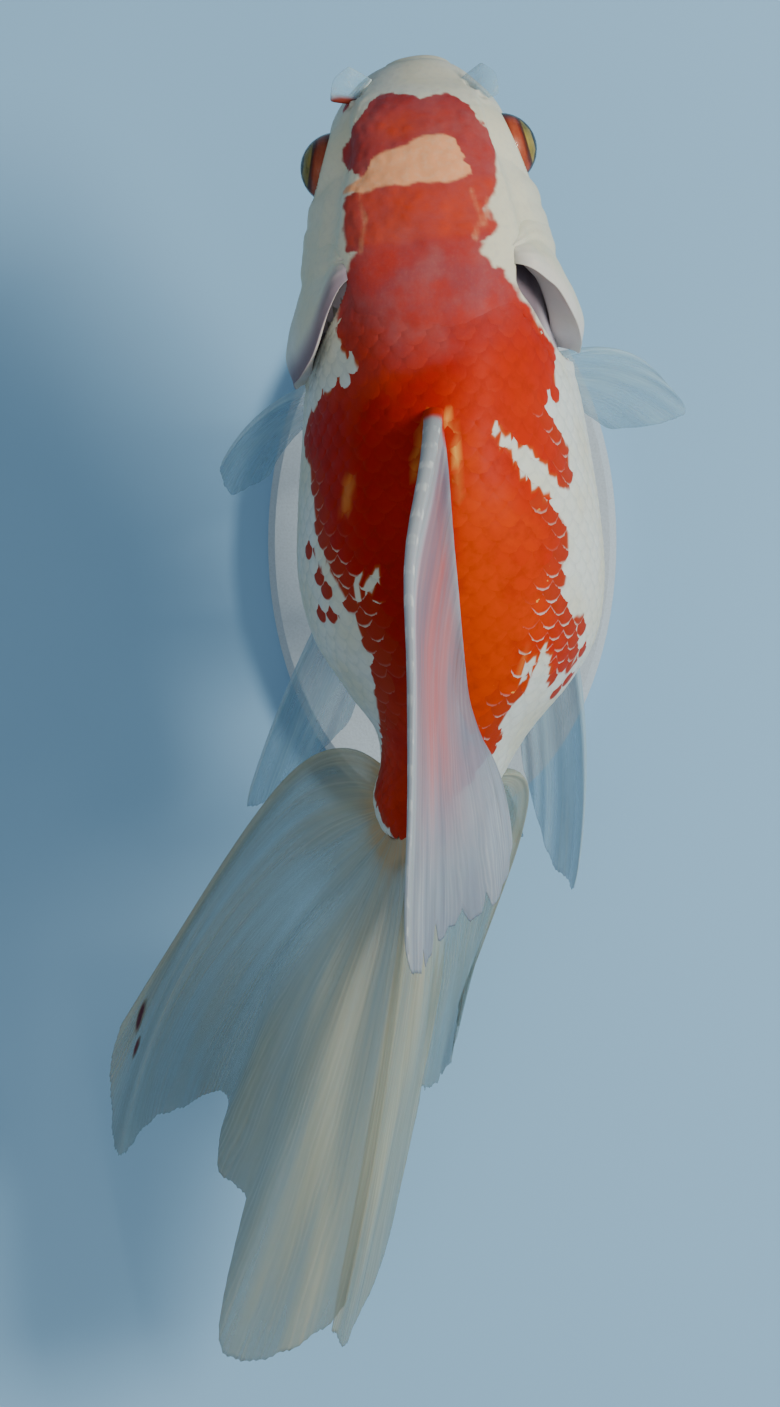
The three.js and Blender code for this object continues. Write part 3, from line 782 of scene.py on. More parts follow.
def eyeball_material(colours):
    """Black pupil in a gold ring, then a dark line and a red-brown ball. "turn" is 0 at the pupil and 1 a
    quarter turn away."""
    s = Shading("eyeball")
    turn = s.value("turn")
    spokes = s.noise(420, 4.0, rough=0.7)
    blotches = s.noise(260, 3.0)
    olive = s.mix(s.ramp(spokes, 0.4, 0.7), colours.eye_gold, colours.eye_olive)
    ball = s.mix(s.ramp(blotches, 0.38, 0.62), colours.eye_red, colours.eye_brown)
    stripe = s.ramp(turn, 0.52, 0.58) * s.ramp(turn, 0.66, 0.78, 1.0, 0.0)
    ball = s.mix(stripe * s.ramp(spokes, 0.35, 0.6, 0.5, 0.95), ball, colours.eye_bright)
    colour = s.mix(s.ramp(turn, 0.42, 0.46), olive, colours.eye_line)
    colour = s.mix(s.ramp(turn, 0.48, 0.53), colour, ball)
    colour = s.mix(s.ramp(turn, 0.88, 1.0), colour, colours.plum)
    colour = s.mix(s.ramp(turn, 0.17, 0.19, 1.0, 0.0), colour, PUPIL)
    s.raise_by(spokes, EYE_GRAIN, 0.6)
    return s.set(Base_Color=colour, Roughness=0.4, Metallic=0.0, Coat_Weight=0.1, Coat_Roughness=0.1)


def cornea_material():
    """Clear dome over the iris: light goes straight through and only its gloss shows."""
    s = Shading("cornea")
    clear = s.node("ShaderNodeBsdfTransparent")
    clear.inputs[0].default_value = CORNEA_TINT
    gloss = s.node("ShaderNodeBsdfGlossy")
    s.put(gloss.inputs["Roughness"], s.ramp(s.noise(900, 3.0), 0.3, 0.7, 0.03, 0.07))
    fresnel = s.node("ShaderNodeFresnel")
    fresnel.inputs["IOR"].default_value = CORNEA_IOR
    both = s.node("ShaderNodeMixShader")
    s.put(both.inputs[0], fresnel.outputs[0])
    s.put(both.inputs[1], clear.outputs[0])
    s.put(both.inputs[2], gloss.outputs[0])
    s.put(s.tree.nodes["Material Output"].inputs[0], both.outputs[0])
    s.tree.nodes.remove(s.shader)
    return s.material


def stand_material(colours):
    """Fine matt powder coat, a little darker in its dimples."""
    s = Shading("stand paint")
    grain = s.noise(2600, 2.0)
    dust = s.noise(35, 3.0)
    colour = s.mix(s.ramp(grain, 0.3, 0.8), colours.stand, colours.stand * 0.86)
    colour = s.mix(s.ramp(dust, 0.45, 0.8, 0.0, 0.25), colour, colours.stand * 0.9)
    s.raise_by(grain, PAINT_GRAIN, 0.5)
    return s.set(Base_Color=colour, Roughness=s.ramp(dust, 0.3, 0.7, 0.48, 0.6))


def steel_material():
    """Steel brushed along the rod."""
    s = Shading("rod steel")
    stretch = s.node("ShaderNodeMapping")
    stretch.inputs["Scale"].default_value = (1, 1, 0.02)
    s.put(stretch.inputs[0], s.place())
    lines = s.noise(9000, 2.0, where=stretch.outputs[0])
    colour = s.mix(lines, STEEL_DARK, STEEL_LIGHT)
    s.raise_by(lines, STEEL_GRAIN, 0.6)
    return s.set(Base_Color=colour, Roughness=s.ramp(lines, 0.3, 0.7, 0.24, 0.4), Metallic=1.0)


def floor_material(colours):
    s = Shading("floor")
    colour = s.mix(s.noise(6, 2.0), colours.floor, colours.floor * 0.97)
    return s.set(Base_Color=colour, Roughness=0.75)


# ---------------------------------------------------------------- sizes and colours a user may change
def colour_prop(name, red, green, blue, says):
    return bpy.props.FloatVectorProperty(
        name=name, description=says, subtype="COLOR", size=3, min=0, max=1, default=(red, green, blue)
    )


class GoldfishColours(bpy.types.PropertyGroup):
    red: colour_prop("Red", 0.45, 0.02, 0.002, "Main red of the saddle")
    # Crimson and Orange are partly painted light and shade: the left of the back is painted deeper as shaded
    # and the right brighter as lit, over the fish's own deeper red on the left. Orange also paints the
    # highlights on the red scales' rims.
    crimson: colour_prop("Crimson", 0.35, 0.006, 0.0005, "Deep red of the left of the back")
    orange: colour_prop("Orange", 0.56, 0.043, 0.0004, "Orange of the right of the back")
    film: colour_prop("Film", 0.265, 0.05, 0.056, "Milky film over the red of the head and the fore back")
    rose: colour_prop("Rose", 0.42, 0.15, 0.13, "Thicker veils of the film")
    brick: colour_prop("Brick", 0.33, 0.035, 0.012, "Brown-red of the outermost red scales")
    rust: colour_prop("Rust", 0.17, 0.022, 0.012, "Root of the left nostril flap")
    amber: colour_prop("Amber", 0.42, 0.12, 0.02, "Fringe where red scales meet white ones")
    # Maroon also paints the shade under the rims of red scales.
    maroon: colour_prop("Maroon", 0.13, 0.008, 0.004, "Dark grains in the red, and spots on the tail")
    plum: colour_prop("Plum", 0.34, 0.060, 0.055, "Creases of the growth on the head")
    # Gold also paints the glints on the orange of the back.
    gold: colour_prop("Gold", 0.78, 0.34, 0.06, "Golden places by the dorsal fin")
    peach: colour_prop("Peach", 0.74, 0.32, 0.15, "Pale band across the crown")
    cream: colour_prop("Cream", 0.60, 0.58, 0.42, "Warm white")
    pearl: colour_prop("Pearl", 0.62, 0.66, 0.62, "Cool white")
    grey: colour_prop("Grey", 0.36, 0.40, 0.38, "Shade between white scales")
    lilac: colour_prop("Lilac", 0.58, 0.53, 0.58, "Inner face and thin rims of the gill covers")
    # Hollow is painted shade: it darkens the mouth, nostrils, eye sockets, the gill hollows and the inside of
    # the gill covers.
    hollow: colour_prop("Hollow", 0.045, 0.012, 0.028, "Inside of the mouth, nostrils and gills")
    dorsal_milk: colour_prop("Dorsal milk", 0.36, 0.41, 0.46, "Pale streaks of the dorsal fin")
    dorsal_shade: colour_prop("Dorsal shade", 0.18, 0.21, 0.29, "Darker streaks of the dorsal fin")
    dorsal_pink: colour_prop("Dorsal pink", 0.47, 0.13, 0.13, "Flush in the middle of the dorsal fin")
    fin_shaft: colour_prop("Fin shaft", 0.27, 0.30, 0.30, "Thick first ray of the dorsal fin")
    fin_spot: colour_prop("Fin spot", 0.07, 0.02, 0.035, "Spots on the tail and the nostril flap")
    tail_milk: colour_prop("Tail milk", 0.36, 0.38, 0.28, "Pale streaks of the tail")
    tail_shade: colour_prop("Tail shade", 0.13, 0.20, 0.20, "Darker streaks of the tail")
    tail_root: colour_prop("Tail root", 0.42, 0.29, 0.15, "Warm root of the tail")
    paired_milk: colour_prop("Paired milk", 0.36, 0.54, 0.64, "Pale streaks of the paired fins")
    paired_shade: colour_prop("Paired shade", 0.17, 0.34, 0.47, "Darker streaks of the paired fins")
    paired_root: colour_prop("Paired root", 0.54, 0.54, 0.44, "Fleshy root of the paired fins")
    fin_ray: colour_prop("Fin ray", 0.64, 0.66, 0.56, "Rays of the fins")
    fin_line: colour_prop("Fin line", 0.13, 0.13, 0.11, "Dark lines between folds of the fins")
    eye_gold: colour_prop("Eye gold", 0.34, 0.27, 0.07, "Ring round the pupil")
    eye_olive: colour_prop("Eye olive", 0.14, 0.13, 0.04, "Flecks in the ring round the pupil")
    eye_line: colour_prop("Eye line", 0.07, 0.014, 0.012, "Dark line outside the gold ring")
    eye_red: colour_prop("Eye red", 0.26, 0.028, 0.012, "Sides of the eyeball")
    eye_bright: colour_prop("Eye bright", 0.40, 0.08, 0.04, "Bright band of the eyeball")
    eye_brown: colour_prop("Eye brown", 0.12, 0.016, 0.008, "Shaded sides of the eyeball")
    stand: colour_prop("Stand", 0.42, 0.50, 0.56, "Paint of the stand")
    floor: colour_prop("Floor", 0.25, 0.47, 0.68, "Plain floor under the stand")


class GoldfishShape(bpy.types.PropertyGroup):
    around: bpy.props.IntProperty(
        name="Skin around", description="Facets round the skin", default=256, min=48, max=320
    )
    along: bpy.props.IntProperty(
        name="Skin along", description="Facets along the skin", default=300, min=60, max=360
    )
    scale_rows: bpy.props.IntProperty(
        name="Scale rows", description="Rows of scales round the trunk", default=88, min=20, max=92
    )
    scale_length: bpy.props.FloatProperty(
        name="Scale spacing", description="From one scale to the next in its row, in mm", default=3.7, min=2
    )
    fin_relief: bpy.props.FloatProperty(
        name="Ray relief", description="Height of a fin's rays over its membrane, in mm", default=0.015, min=0
    )


# ---------------------------------------------------------------- skin
EYE_SIDES = {1: "left", -1: "right"}
EYE_REACH = {1: EYE_OUT - 0.1, -1: EYE_OUT - 0.6}  # from the spine to each eye's middle
EYE_BACK = {1: 0.9, -1: 0.2}  # how far each eye lies behind EYE_ALONG
MOUTH_HALF = 4.9
MOUTH_UP = -0.5
# Two nostrils on each side: the place beside the head (out, along and up), and the radius.
NOSTRILS = (((8.3, 6.2, 7.6), 0.75), ((9.2, 8.2, 8.4), 0.6))


def eye_centre(side):
    return beside_head(side * EYE_REACH[side], EYE_ALONG + EYE_BACK[side], EYE_UP)


def eye_axes(side):
    """An eye's own directions: the way it looks (out and a little forward), towards the tail, and up."""
    turn = turn_at(EYE_ALONG)
    out = np.array([side * math.cos(turn), -side * math.sin(turn), 0.0]) + np.array([0.0, -0.22, 0.02])
    out /= np.linalg.norm(out)
    up = np.array([0.0, 0.0, 1.0]) - out * out[2]
    up /= np.linalg.norm(up)
    return out, np.cross(up, out) * side, up


def creases(points, size):
    """How far inside a crease of the head's growth a point lies: 1 along it, 0 on a bleb."""
    found = np.empty(len(points))
    for at, p in enumerate(points):
        first, second = noise.voronoi(Vector(p) / size)[0][:2]
        found[at] = second - first
    return fade(0.05, 0.45, found)


def lids(points, y):
    """Draws the skin up round the eyes. Returns the moved points and the painted shade in the sockets."""
    dark = np.zeros(len(points))
    for side in EYE_SIDES:
        axis, back, up = eye_axes(side)
        away = points - eye_centre(side)
        out, along, above = away @ axis, away @ back, away @ up
        taper = 1 - 0.35 * smooth(1.0, 6.0, along)
        off = np.hypot(along / np.where(along > 0, 1.16, 1.0), above / taper / 0.96)
        beside = smooth(-7.5, -4.5, out) * (y < 34)
        lid = 2.3 + 0.12 * np.clip(along, -5, 5) - 0.3 * np.maximum(off - 4.6, 0) ** 1.6
        lift = np.maximum(lid - out, 0) * smooth(4.15, 4.65, off) * beside
        sink = 5.5 * fade(3.95, 4.4, off) * beside
        points = points + axis * (lift - sink)[:, None]
        # Painted shade in the socket round the eye.
        dark = np.maximum(dark, beside * fade(4.15, 4.5, off))
    return points, dark


def sculpt(points, y, angle):
    """How far the skin stands above or below the plain body, the painted shade of its hollows, where it
    creases and where it lines the gills."""
    up = side_angle(angle)
    offset = -SCALE_DEPTH * smooth(-1.5, 3.0, y - scales_begin(angle))
    dark = np.zeros(len(points))
    crease = np.zeros(len(points))

    head = (y < 50).nonzero()[0]
    from_crown = np.abs(angle - math.pi / 2)
    crown = smooth(5.5, 9, y) * fade(27, 34, y) * fade(0.6, 0.95, from_crown)
    crease[head] = creases(points[head], 2.3) * 0.7 + creases(points[head] + 7.0, 1.1) * 0.3
    folds = np.zeros(len(points))
    folds[head] = noise_at(points[head], 6.0, 2.0)
    offset += crown * (0.1 - 0.15 * crease + 0.25 * folds) + (y < 50) * (0.16 * folds - 0.02 * crease)
    edge = smooth(0.55, 0.8, from_crown) * fade(0.85, 1.05, from_crown)
    offset -= 0.45 * edge * smooth(8, 13, y) * fade(30, 36, y)

    for side in EYE_SIDES:
        for (out, along, high), radius in NOSTRILS:
            pit = np.linalg.norm(points - beside_head(side * out, along, high), axis=1)
            offset += 0.15 * bump(pit, radius + 0.7, 0.45) - 1.2 * bump(pit, 0, radius)
            # Painted shade in the nostril pits.
            dark = np.maximum(dark, bump(pit, 0, radius * 0.8))

    across = points[:, 0] - SECTIONS[0][4]
    front = fade(6, 9, points[:, 1])
    mouth = front * fade(MOUTH_HALF - 0.8, MOUTH_HALF + 0.6, np.abs(across))
    above = points[:, 2] - MOUTH_UP + 0.035 * across**2
    lips = 0.22 * bump(above, 1.2, 0.9) + 0.42 * bump(above, -1.4, 0.9)
    offset += mouth * (lips - 1.4 * bump(above, 0, 0.32))
    offset -= front * 0.15 * bump(np.hypot(across / 1.9, above), 3.2, 0.8)
    # Painted shade in the mouth's slit.
    dark = np.maximum(dark, mouth * bump(above, 0, 0.26))

    chamber = gill_chamber(y, angle)
    offset -= GILL_SINK * chamber
    dark = np.maximum(dark, gill_shade(angle, chamber))
    cheek = smooth(19, 22, y) * bump(up, 0.1, 0.75)
    offset += cheek * (0.3 * bump(y, 21.5, 1.6) - 0.25 * bump(y, 24.2, 0.8))
    return offset, dark, crease * crown, smooth(0.1, 0.6, chamber)


def build_skin(shape):
    """One skin over head, trunk and tail stalk, with lips, eye sockets, nostrils and gills worked into it."""
    bm = bmesh.new()
    bmesh.ops.create_uvsphere(bm, u_segments=shape.around, v_segments=shape.along, radius=1)
    mesh = to_mesh(bm, "skin")
    ball = points_of(mesh)
    place = np.arccos(np.clip(ball[:, 2], -1, 1)) / math.pi * LAST
    angle = np.arctan2(ball[:, 1], ball[:, 0])
    points = body_point(place, angle)
    y = section(place)[0]
    normal = body_normal(place, angle)
    tips = (place < 0.02) | (place > LAST - 0.02)
    normal[tips] = np.where(place[tips, None] < 1, (0.0, -1.0, 0.0), (0.0, 1.0, 0.0))
    offset, dark, crease, hollow = sculpt(points, y, angle)
    wobble = noise_at(points, 1.3, 9.0)
    points, socket = lids(points + normal * offset[:, None], y)
    set_points(mesh, to_world(points))
    down = plan_down(points, place, y, angle)
    red, orange, peach = markings(y + 0.45 * wobble, down + 2.2 * wobble, soft=3.2)
    red = red * whitened(y + 0.45 * wobble, down + 1.6 * wobble)
    pale = np.maximum.reduce([peach, 0.34 * creased(y + 0.3 * wobble, down), smooth(115.5, 118, y)])
    snout = 0.2 * fade(3, 14, y)
    stalk = 0.7 * smooth(104, 109, y) * (1 - red)
    add_values(
        mesh, red=red, orange=orange, gold=golden(y, down), peach=pale, crease=crease, milky=milky(y, down),
        dark=np.maximum.reduce([dark, socket, snout]), lilac=np.maximum(stalk, hollow), cream=creamy(y),
    )  # fmt: skip
    face_outwards(mesh)
    return mesh


def build_cover(side):
    """A gill cover: it grows out of the cheek and ends in a free, rounded edge that stands off the body."""
    mesh = to_mesh(closed_sheet(*COVER_FACETS), "cover")
    back, rise, front = points_of(mesh).T
    from_middle = np.abs(2 * rise - 1)
    from_end = np.minimum(rise, 1 - rise)
    up = COVER_BOTTOM + (COVER_TOP - COVER_BOTTOM) * rise
    first = COVER_FRONT + 6 * from_middle**3
    y = first + (cover_rear(up, side > 0) - first) * back
    bend = 0.75 * (1 - 0.85 * smooth(0.05, 0.45, up))
    flare = smooth(0.2, 0.9, back) * (1 - bend * smooth(0.72, 1.08, back) ** 1.3)
    closing = np.where(rise > 0.5, 1 - from_middle ** (8 if side > 0 else 16), 1 - from_middle**2.4)
    outer = 0.1 + COVER_FLARE[side] * flare * closing
    outer += 0.2 * bump(back, 0.3, 0.05) - 0.22 * bump(back, 0.38, 0.05) + 0.15 * bump(back, 0.62, 0.08)
    outer -= 1.2 * fade(0.0, 0.22, back) + 0.6 * fade(0, 0.1, from_end) * (1 - back)
    outer -= 0.9 * fade(0, 0.22, rise)
    rim = np.sqrt(np.clip(1 - smooth(0.9, 1.0, back) ** 2, 0.05, 1)) * smooth(-0.06, 0.06, from_end)
    wall = COVER_WALL * (0.25 + 0.75 * rim) * (1 - 0.45 * smooth(0.3, 1, back))
    from_edge = 0.7 * (cover_rear(up, side > 0) - y)
    thinning = 0.8 if side > 0 else 0.4
    lining = COVER_LINING[side] * (1 - thinning * smooth(0.0, 0.75, up)) * smooth(0, 1.3, from_edge)
    wall += lining * smooth(0.15, 0.35, back) * smooth(0.02, 0.12, rise)
    angle = np.where(side > 0, up, math.pi - up)
    points = body_point(place_of(y), angle, outer - np.where(front > 0.5, 0, wall))
    set_points(mesh, to_world(points))
    within = (1 - front) * smooth(0.2, 0.4, back) * (0.5 + 0.5 * smooth(0.3, 4, from_edge))
    # margin: the thin rim along a cover's free edge, tinted lilac. On the left cover it is also darkened,
    # partly as its see-through membrane and partly as painted shade of the gap behind it.
    margin = front * fade(0.4, 4.0, from_edge) * smooth(0.35, 0.6, rise)
    margin = margin * (1.0 if side > 0 else 0.35)
    # Painted shade: deep darkens the inner face far under the cover.
    deep = 0.2975 * (1 - front) * smooth(5, 8, from_edge)
    unmarked = dict.fromkeys(("red", "orange", "gold", "peach", "crease", "milky"), np.zeros(len(y)))
    dark = np.maximum(deep, 0.72 * margin * (side > 0))
    add_values(mesh, **unmarked, dark=dark, lilac=np.maximum(within, margin), cream=creamy(y))
    face_outwards(mesh)
    return mesh


# ---------------------------------------------------------------- scales
SCALE_ZONES = (  # from, to, then shares of the rows and of the spacing
    (36.0, 94.0, 1.0, 1.0),
    (94.0, 103.0, 0.76, 0.9),
    (103.0, 119.0, 0.57, 0.78),
)
HALF_WIDTH = 1.18  # of a scale, in rows
SCALE_WALL = 0.14
SIDE_POINTS = 0.47 * math.pi  # how far a scale's points crowd to its sides
BAKE_PATCH = 0.003  # width of each scale's place in the OFBake map


class RoundChart:
    """Turns a share of the way round the body, from the ridge down the left side, into an angle."""

    def __init__(self, first, last, rows=150, columns=720):
        self.levels = np.linspace(first, last, rows)
        angle = np.linspace(math.pi / 2, -1.5 * math.pi, columns + 1)
        even = np.linspace(0, 1, columns + 1)
        self.angles = np.empty((rows, columns + 1))
        for row, y in enumerate(self.levels):
            outline = body_point(np.full(columns + 1, place_of(y)), angle)
            reach = np.concatenate([[0], np.cumsum(np.linalg.norm(np.diff(outline, axis=0), axis=1))])
            self.angles[row] = np.interp(even, reach / reach[-1], angle)

    def angle(self, y, share):
        rows, columns = self.angles.shape
        row = np.clip(np.interp(y, self.levels, np.arange(rows)), 0, rows - 1.001)
        whole = np.floor(share)
        column = (share - whole) * (columns - 1)
        r, c = row.astype(int), np.minimum(column.astype(int), columns - 2)
        fr, fc = row - r, column - c
        near_row = self.angles[r, c] * (1 - fc) + self.angles[r, c + 1] * fc
        next_row = self.angles[r + 1, c] * (1 - fc) + self.angles[r + 1, c + 1] * fc
        return near_row * (1 - fr) + next_row * fr - 2 * math.pi * whole


def scale_roots(shape, chart):
    """Every scale's tip: distance from the snout, share round the body, row width, spacing and a chance."""
    chance = random.Random(7)
    roots = []
    for first, last, rows_share, spacing_share in SCALE_ZONES:
        rows = 2 * round(shape.scale_rows * rows_share / 2)
        spacing = shape.scale_length * spacing_share
        for column in range(round((last - first) / spacing * 2)):
            for row in range(column % 2, rows, 2):
                tip = first + column * spacing / 2 + spacing * 0.1 * (chance.random() - 0.5)
                place = (row + 0.1 * (chance.random() - 0.5)) / rows
                if tip > scales_begin(chart.angle(np.array([tip]), np.array([place]))[0]) + 1.2:
                    roots.append((tip, place, 1 / rows, spacing, chance.random()))
    return np.array(roots)


def flat_scales(count, name):
    """A number of flat scales in one mesh, and the grid of points that each of them has."""
    bm = closed_sheet(6, 3)
    for edge in bm.edges:
        edge.smooth = edge.calc_face_angle() < 1
    template = to_mesh(bm, "scale")
    grid = points_of(template)
    bm = bmesh.new()
    for _ in range(count):
        bm.from_mesh(template)
    bpy.data.meshes.remove(template)
    return to_mesh(bm, name), grid


def build_scales(roots, chart, name):
    """The scales of these roots, joined into one mesh. Arrays run scale by scale, then point by point."""
    mesh, grid = flat_scales(len(roots), name)
    a = np.sin((2 * grid[:, 0] - 1) * SIDE_POINTS) / math.sin(SIDE_POINTS)
    b = np.interp(grid[:, 1], (0, 1 / 3, 2 / 3, 1), (0, 0.5, 0.86, 1))
    top = grid[:, 2] > 0.5
    tip, share, row, spacing, luck = (roots[:, k, None] for k in range(5))
    curve = 0.72 * (1 - np.sqrt(1 - (0.96 * a) ** 2))
    behind = curve + (1.6 - curve) * (1 - b) ** 1.3
    y = tip - behind * spacing
    middle_y = tip - 0.4 * spacing
    middle = middle_y.ravel()
    middle_down = down_from(chart.angle(middle, share.ravel()))
    step = 0.04 + 0.065 * smooth(30, 58, np.abs(middle_down))[:, None] * smooth(40, 60, middle_y)
    height = -step * behind - 0.08 * a**4 - 0.75 * step * (b > 0.99) + 0.01 * (luck - 0.5)
    height = height - np.where(top, 0, SCALE_WALL)
    every = np.ones_like(y)

    def spread(values):
        """A number for each point, in one row, where values may hold one for each scale."""
        return (every * values).ravel()

    across = a * HALF_WIDTH * every
    shares = share + across * row
    at = y.ravel()
    angle = chart.angle(at, shares.ravel())
    height = height.ravel() - 0.45 * fade(-1.5, 4.5, at - scales_begin(angle))
    chamber = gill_chamber(at, angle)
    height -= 1.5 * GILL_SINK * chamber
    points = body_point(place_of(at), angle, height)
    set_points(mesh, to_world(points))

    # A scale takes its red from places halfway to its middle, so that the markings follow whole scales.
    seen_y = middle_y + 0.5 * (y - middle_y)
    seen_share = share + 0.5 * (shares - share)
    seen_down = down_from(chart.angle(seen_y.ravel(), seen_share.ravel()))
    red = markings(seen_y.ravel(), seen_down)[0].reshape(y.shape)
    down = down_from(angle)
    orange, peach = markings(at, down)[1:]
    inside = (red_edge(middle, middle_down) - np.abs(middle_down))[:, None]
    lone = np.zeros(len(roots))
    for y0, d0 in LONE_RED:
        away = np.hypot(middle - y0, (middle_down - d0) * MM_PER_DEGREE)
        lone[np.argmin(away)] = 1 if away.min() < 4 else 0
    lone = lone[:, None]
    wobble = noise_at(points, 2.2, 3.0)
    clear = whitened(at + 0.5 * wobble, down + 1.4 * wobble).reshape(y.shape)
    red = np.maximum(red * clear * smooth(-7, -2, inside), lone)
    reach = 10 + 7 * smooth(74, 82, middle_y)
    rear = smooth(48, 62, middle_y)
    off = [near_line(middle, middle_down, *line)[0] for line in NET_LINES]
    off = np.min(off, axis=0)[:, None]
    rims = 0.5 * fade(3, reach, inside) * rear
    rims = rims * (1 - 0.8 * smooth(78, 84, middle_y) * (share < 0.5))
    net = np.maximum.reduce([rims, 0.72 - 0.72 * smooth(1.0, 3.6, off), lone])
    orange = orange.reshape(y.shape) + 0.16 * (luck - 0.5)
    outer = np.maximum(fade(2, reach + 2, inside) * rear, lone)
    add_values(
        mesh, red=red.ravel(), orange=orange.ravel(), gold=golden(at, down), peach=peach,
        milky=milky(at, down), dark=gill_shade(angle, chamber), lilac=smooth(0.1, 0.6, chamber),
        cream=creamy(at), net=spread(net), lone=spread(lone), edge=spread(outer),
    )  # fmt: skip
    first, last = SECTIONS[0][0], SECTIONS[-1][0]
    patch_u = share % 1.0 + BAKE_PATCH / 2 * a
    patch_v = (tip - first) / (last - first) + BAKE_PATCH / 2 * (2 * b - 1)
    for label, u, v in (("OFBake", patch_u, patch_v), ("ScaleUV", across, behind)):
        add_uv(mesh, label, np.stack([spread(u), spread(v)], -1))
    return mesh


# ---------------------------------------------------------------- fins
# Each fin is a fan of key rays. A ray is a cubic curve: root, two points that steer it, and tip.
DORSAL_RAYS = (
    ((3.0, 52, 31), (3.6, 58, 57), (8.4, 104, 59), (6.8, 132, 38)),
    ((1.4, 61, 31), (4.4, 73, 56), (5.6, 107, 54), (4.6, 132.5, 34)),
    ((0.0, 74, 29), (4.6, 84, 50), (1.2, 108, 47), (1.0, 128, 30)),
    ((-0.8, 85, 25), (2, 93, 39), (-3.2, 109, 38.5), (-4, 125.5, 25)),
    ((-1.0, 93, 20.5), (-2.6, 98, 28), (-7, 109, 29), (-7.5, 122, 19)),
    ((-0.6, 99, 16.5), (-5.4, 100.5, 20.5), (-8.6, 107.5, 21), (-9.4, 118, 16)),
)
LEFT_TAIL_RAYS = (
    ((5.6, 115, 9.4), (4.8, 131, 9.2), (10.4, 168, -3.6), (17.4, 199, -17)),
    ((7.2, 117, 6), (14, 134, 4.6), (24, 172, -9), (36, 203, -25)),
    ((8.2, 117, 2), (18, 130, -1), (29, 149, -12), (36, 165, -23.5)),
    ((9.0, 115, -2), (21, 121, -6), (41, 143, -26), (46.5, 168.5, -37)),
    ((9.2, 113, -5), (21, 106, -8), (46, 136, -26), (54, 175, -38)),
    ((8.0, 110, -7), (21, 90, -9), (39.5, 130, -26), (55.3, 157, -33)),
)
RIGHT_TAIL_RAYS = (
    ((5.2, 115, 8), (6.4, 131, 5.5), (13.4, 168, -8.5), (19.4, 199, -23)),
    ((4.0, 117, 5), (3.5, 134, 1), (9, 172, -17), (14.6, 203, -33)),
    ((3.0, 117, 1.5), (0.5, 131, -5), (2.5, 148, -23), (5.2, 167, -36)),
    ((1.6, 116, -2), (-4, 122, -8), (-1.5, 142, -32), (1.7, 165, -41)),
    ((0.6, 115, -5), (-13, 108, -9), (-4, 128, -29), (-0.2, 159, -40)),
    ((0.2, 112, -7), (-21, 98, -8), (-10.5, 122, -26), (-2.8, 151, -38)),
)
LEFT_PECTORAL_RAYS = (
    ((17, 48, -10), (24, 49.5, -12), (31.5, 53.5, -15), (35.5, 61.5, -20)),
    ((17.5, 50, -13), (23.5, 52.5, -17), (31, 58, -22), (34.3, 66, -28)),
    ((16.5, 51, -16), (21, 53.5, -20), (26, 58, -26), (28.5, 64, -32)),
)
RIGHT_PECTORAL_RAYS = (
    ((-15.5, 45, -11), (-21, 42.5, -11), (-27, 42.5, -13), (-31, 46, -14)),
    ((-15.5, 47, -13), (-22, 46.5, -13), (-30, 48, -15), (-36.5, 53.5, -16)),
    ((-15, 49.5, -15), (-19, 51.5, -16), (-22, 54, -18), (-25, 56, -19)),
)
LEFT_PELVIC_RAYS = (
    ((9, 67, -28), (16, 76, -42), (27, 98, -50), (33, 119, -47)),
    ((7.5, 71, -29), (12, 82, -45), (21, 100, -54), (27, 116, -54)),
    ((6, 75, -29), (8, 84, -42), (13, 96, -50), (16, 105, -52)),
)
RIGHT_PELVIC_RAYS = (
    ((-9, 67, -28), (-21, 76, -41), (-27, 106, -49), (-21.5, 134, -50)),
    ((-7.5, 71, -29), (-14, 83, -45), (-19, 108, -55), (-17.5, 127, -56)),
    ((-6, 75, -29), (-8, 85, -42), (-12, 100, -52), (-13, 112, -55)),
)
LEFT_ANAL_RAYS = (
    ((2.8, 91, -19), (6, 97, -34), (9, 112, -44), (11, 124, -46)),
    ((2.8, 95, -16), (5, 103, -27), (9, 114, -36), (12, 122, -40)),
    ((3.2, 99, -12), (5, 105, -19), (8, 111, -25), (10, 116, -29)),
)
RIGHT_ANAL_RAYS = tuple(tuple((-x - 0.8, y, z) for x, y, z in ray) for ray in LEFT_ANAL_RAYS)
LEFT_FLAP_RAYS = (
    ((11.7, 4.6, 6.2), (12.8, 4.0, 7.2), (14.0, 3.4, 7.9), (15.1, 2.9, 8.1)),
    ((12.9, 6.2, 6.4), (14.4, 5.8, 8.0), (15.9, 5.2, 8.8), (17.3, 4.9, 8.7)),
    ((13.6, 8.2, 6.4), (14.9, 8.3, 7.5), (16.4, 8.3, 8.1), (17.8, 7.9, 8.0)),
)
RIGHT_FLAP_RAYS = tuple(
    tuple((10.0 - 0.95 * x, y - 0.17 * (x - 4.6) + 1.2, z) for x, y, z in ray) for ray in LEFT_FLAP_RAYS
)


def fin_point(rays, across, along):
    """A point of a fin's middle surface, across its fan of rays and along them, both from 0 to 1."""
    rays = np.array(rays, float)
    last = len(rays) - 1
    spread = np.clip(across, 0, 1) * last
    at = np.minimum(spread.astype(int), last - 1)
    t = (spread - at)[:, None, None]
    four = [rays[np.clip(at + k, 0, last)] for k in (-1, 0, 1, 2)]
    a, b, c, d = np.moveaxis(catmull_rom(*four, t), 1, 0)
    v = np.clip(along, 0, 1)[:, None]
    w = 1 - v
    return w**3 * a + 3 * w * w * v * b + 3 * w * v * v * c + v**3 * d


def fin_normal(rays, across, along):
    """The direction straight out of a fin's front face."""
    step = 0.01
    sideways = fin_point(rays, across + step, along) - fin_point(rays, across - step, along)
    steady = np.clip(along, step, 1 - step)
    outward = fin_point(rays, across, steady + step) - fin_point(rays, across, steady - step)
    normal = np.cross(sideways, outward)
    return normal / np.maximum(np.linalg.norm(normal, axis=1, keepdims=True), 1e-9)


